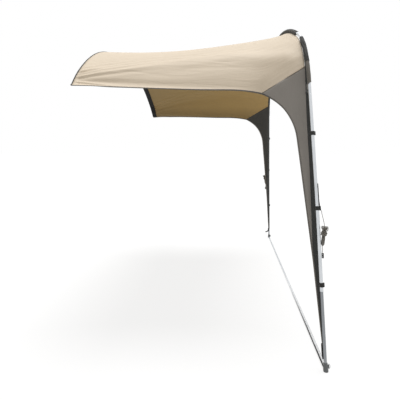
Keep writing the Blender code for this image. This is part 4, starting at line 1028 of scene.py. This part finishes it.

# Ground bar
# Two aluminium tubes in line between the feet, the right one sliding in the left one. The outer tube is
# painted dark near the foot, all but its top, as painted shade.
bar_height, bar_start = 0.0105, half_span - 0.0148 - 0.0032
# Anodised aluminium that is bright, and matt and near black where painted shade lies on it near the foot.
shaded_alloy = metal("aluminium tube with painted shade", "#E2E4E6", 0.36, 900.0,
                painted_shade=("#1D1F20", 0.0205, -1.20, -0.35))
bars = {left: (-0.02, pole_radius, pole_bore, shaded_alloy), right: (-0.27, inner_radius, inner_bore, satin)}
for side, word in sides.items():
    stop, radius, bore, finish = bars[side]
    share = np.concatenate([[0.0, 0.0004], np.linspace(0.001, 0.999, 12), [0.9996, 1.0]])
    x = side * bar_start + (stop - side * bar_start) * share
    lipped = np.full(16, radius) - lip_round * ((share == 0) | (share == 1))
    outer, inner = (
        np.concatenate([np.tile(x[:, None, None], (1, 40, 1)),
                        [feet_y, bar_height] + size[:, None, None] * ring(40)], -1)
        for size in (lipped, np.full(16, bore))
    )
    hollow(f"{word}_bar", f"{word}_ground_bar", outer, inner, finish, "alloy_tube", f"{word}_leg")

# Pole ties
# Three loops of charcoal webbing hold each band to its pole. Each has a tab in front, but the right middle
# one has it behind, where the guy line hangs.
tie_outer, tie_bore, tie_reach = 0.0130, 0.0103, 0.0140
# A coarse, matt webbing, darker than the band's and a little uneven.
dark_webbing = woven("charcoal tie webbing", "#2C2C2A", 0.0014, 0.8, sheen=0.1, mottle=0.15, patch=20.0,
                     strength=0.6)
turn, off = both_ways([0.0, 0.04, 0.10, 0.16, 0.26], np.linspace(0.4, np.pi, 14))
share = np.concatenate([[-0.5, -0.49], np.linspace(-0.47, 0.47, 8), [0.49, 0.5]])
rounded = np.array([0.0006, 0.0002, *np.zeros(8), 0.0002, 0.0006])[:, None]
for side, word in sides.items():
    for number, level in enumerate(tie_levels[side], 1):
        node = f"{word}_pole_tie_{number}"
        away = guy_side[side] if number == 2 else -1
        middle = float(at_height(level))
        centre = pole(side, np.array(middle))[0]
        reach = max(tie_reach, *(float(corner[1] - centre[1]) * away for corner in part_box(node)))
        size = tie_outer + (reach - tie_outer) * np.exp(-((off / 0.12) ** 4)) - rounded
        outline = size[..., None] * circle(turn + away * np.pi / 2)
        tunnel(f"{word}_tie_{number}", node, side, middle + tie_height * share, outline, tie_bore,
               dark_webbing, "charcoal_webbing")

# Guy tapes
# A 15 mm tape of the same webbing lies along each pole, through the middle tie, and is cupped round the
# tube. Its lower end stands off the pole and carries the guy line.
tape_lies, tape_cup, tape_cloth = pole_radius + 0.0018, 0.0035, 0.0013
share = np.linspace(0, 1, 40)
across = np.linspace(-0.5, 0.5, 9)[None, :, None]
for side, word in sides.items():
    away = guy_side[side]
    centre, _, inward, back = pole(side, float(tape_low(side)) + tape_length * share)
    stand = tape_stand + (tape_lies - tape_stand) * ease(share, -0.25, 0.42)
    cup = tape_cup * (4 * across**2 - 0.4) * ease(share, 0.0, 0.3)[:, None, None]
    grid = (centre[:, None] + inward[:, None] * across * tape_width
            + back[:, None] * away * (stand[:, None, None] - cup))
    fabric(f"{word}_tape", f"{word}_guy_tape", grid, tape_cloth, dark_webbing, slot="charcoal_webbing",
           facing=(0, away, 0))

# Band straps and foot straps
# A light strap lies on the top of each band under a plastic ladder buckle, which tensions it. A short
# charcoal one hangs from the band's end over the foot, straight on the left and swept back on the right.
strap_height, strap_half, strap_width, strap_cloth = 1.654, 0.032, 0.011, 0.0012
# The same webbing in light grey, on which the coarse weave shows more.
light_webbing = woven("light grey webbing", "#A5A29C", 0.0014, 0.8, mottle=0.10, patch=20.0, strength=0.5)
across_strap = np.linspace(-0.5, 0.5, 7)[None, :, None]
for side, word in sides.items():
    run = np.linspace(-strap_half, strap_half, 49)
    front, rear, across, out = band_frame(side, float(at_height(strap_height)) + run)
    lift = 0.0017 + 0.0040 * bell(run + 0.019, 0.0045)
    line = (front + rear) / 2 + across * 0.003 + out * lift[:, None]
    grid = line[:, None] + across[:, None] * strap_width * across_strap
    fabric(f"{word}_strap", f"{word}_band_strap", grid, strap_cloth, light_webbing, slot="light_webbing",
           facing=(side, 0, 0))
    bpy.data.objects[f"{word}_band_buckle"].material_slots[0].material = nylon
    # The foot strap bends in from the band, falls by its own law on each side, and narrows to its end.
    share = np.linspace(0, 1, 40)
    if side == left:
        fall, sweep = 0.0725 * share, 0.002 * share
    else:
        fall, sweep = 0.040 * (1 - (1 - share) ** 1.6), 0.050 * share**2.2
    centre, _, inward, back = pole(side, 0.1297 - fall + 0.014 * (1 - share) ** 3)
    line = centre + back * (0.0064 + sweep)[:, None]
    line = line + inward * (0.0163 + 0.0012 * np.sin(np.pi * share))[:, None]
    across = unit(np.cross(np.gradient(line, axis=0), inward))
    across = across * np.sign(across[:1, 1:2])
    wide = (0.0180 - 0.0040 * share - 0.0060 * share**4)[:, None, None] * across_strap
    fabric(f"{word}_low_strap", f"{word}_foot_strap", line[:, None] + across[:, None] * wide, strap_cloth,
           dark_webbing, slot="charcoal_webbing", facing=(-side, 0, 0))
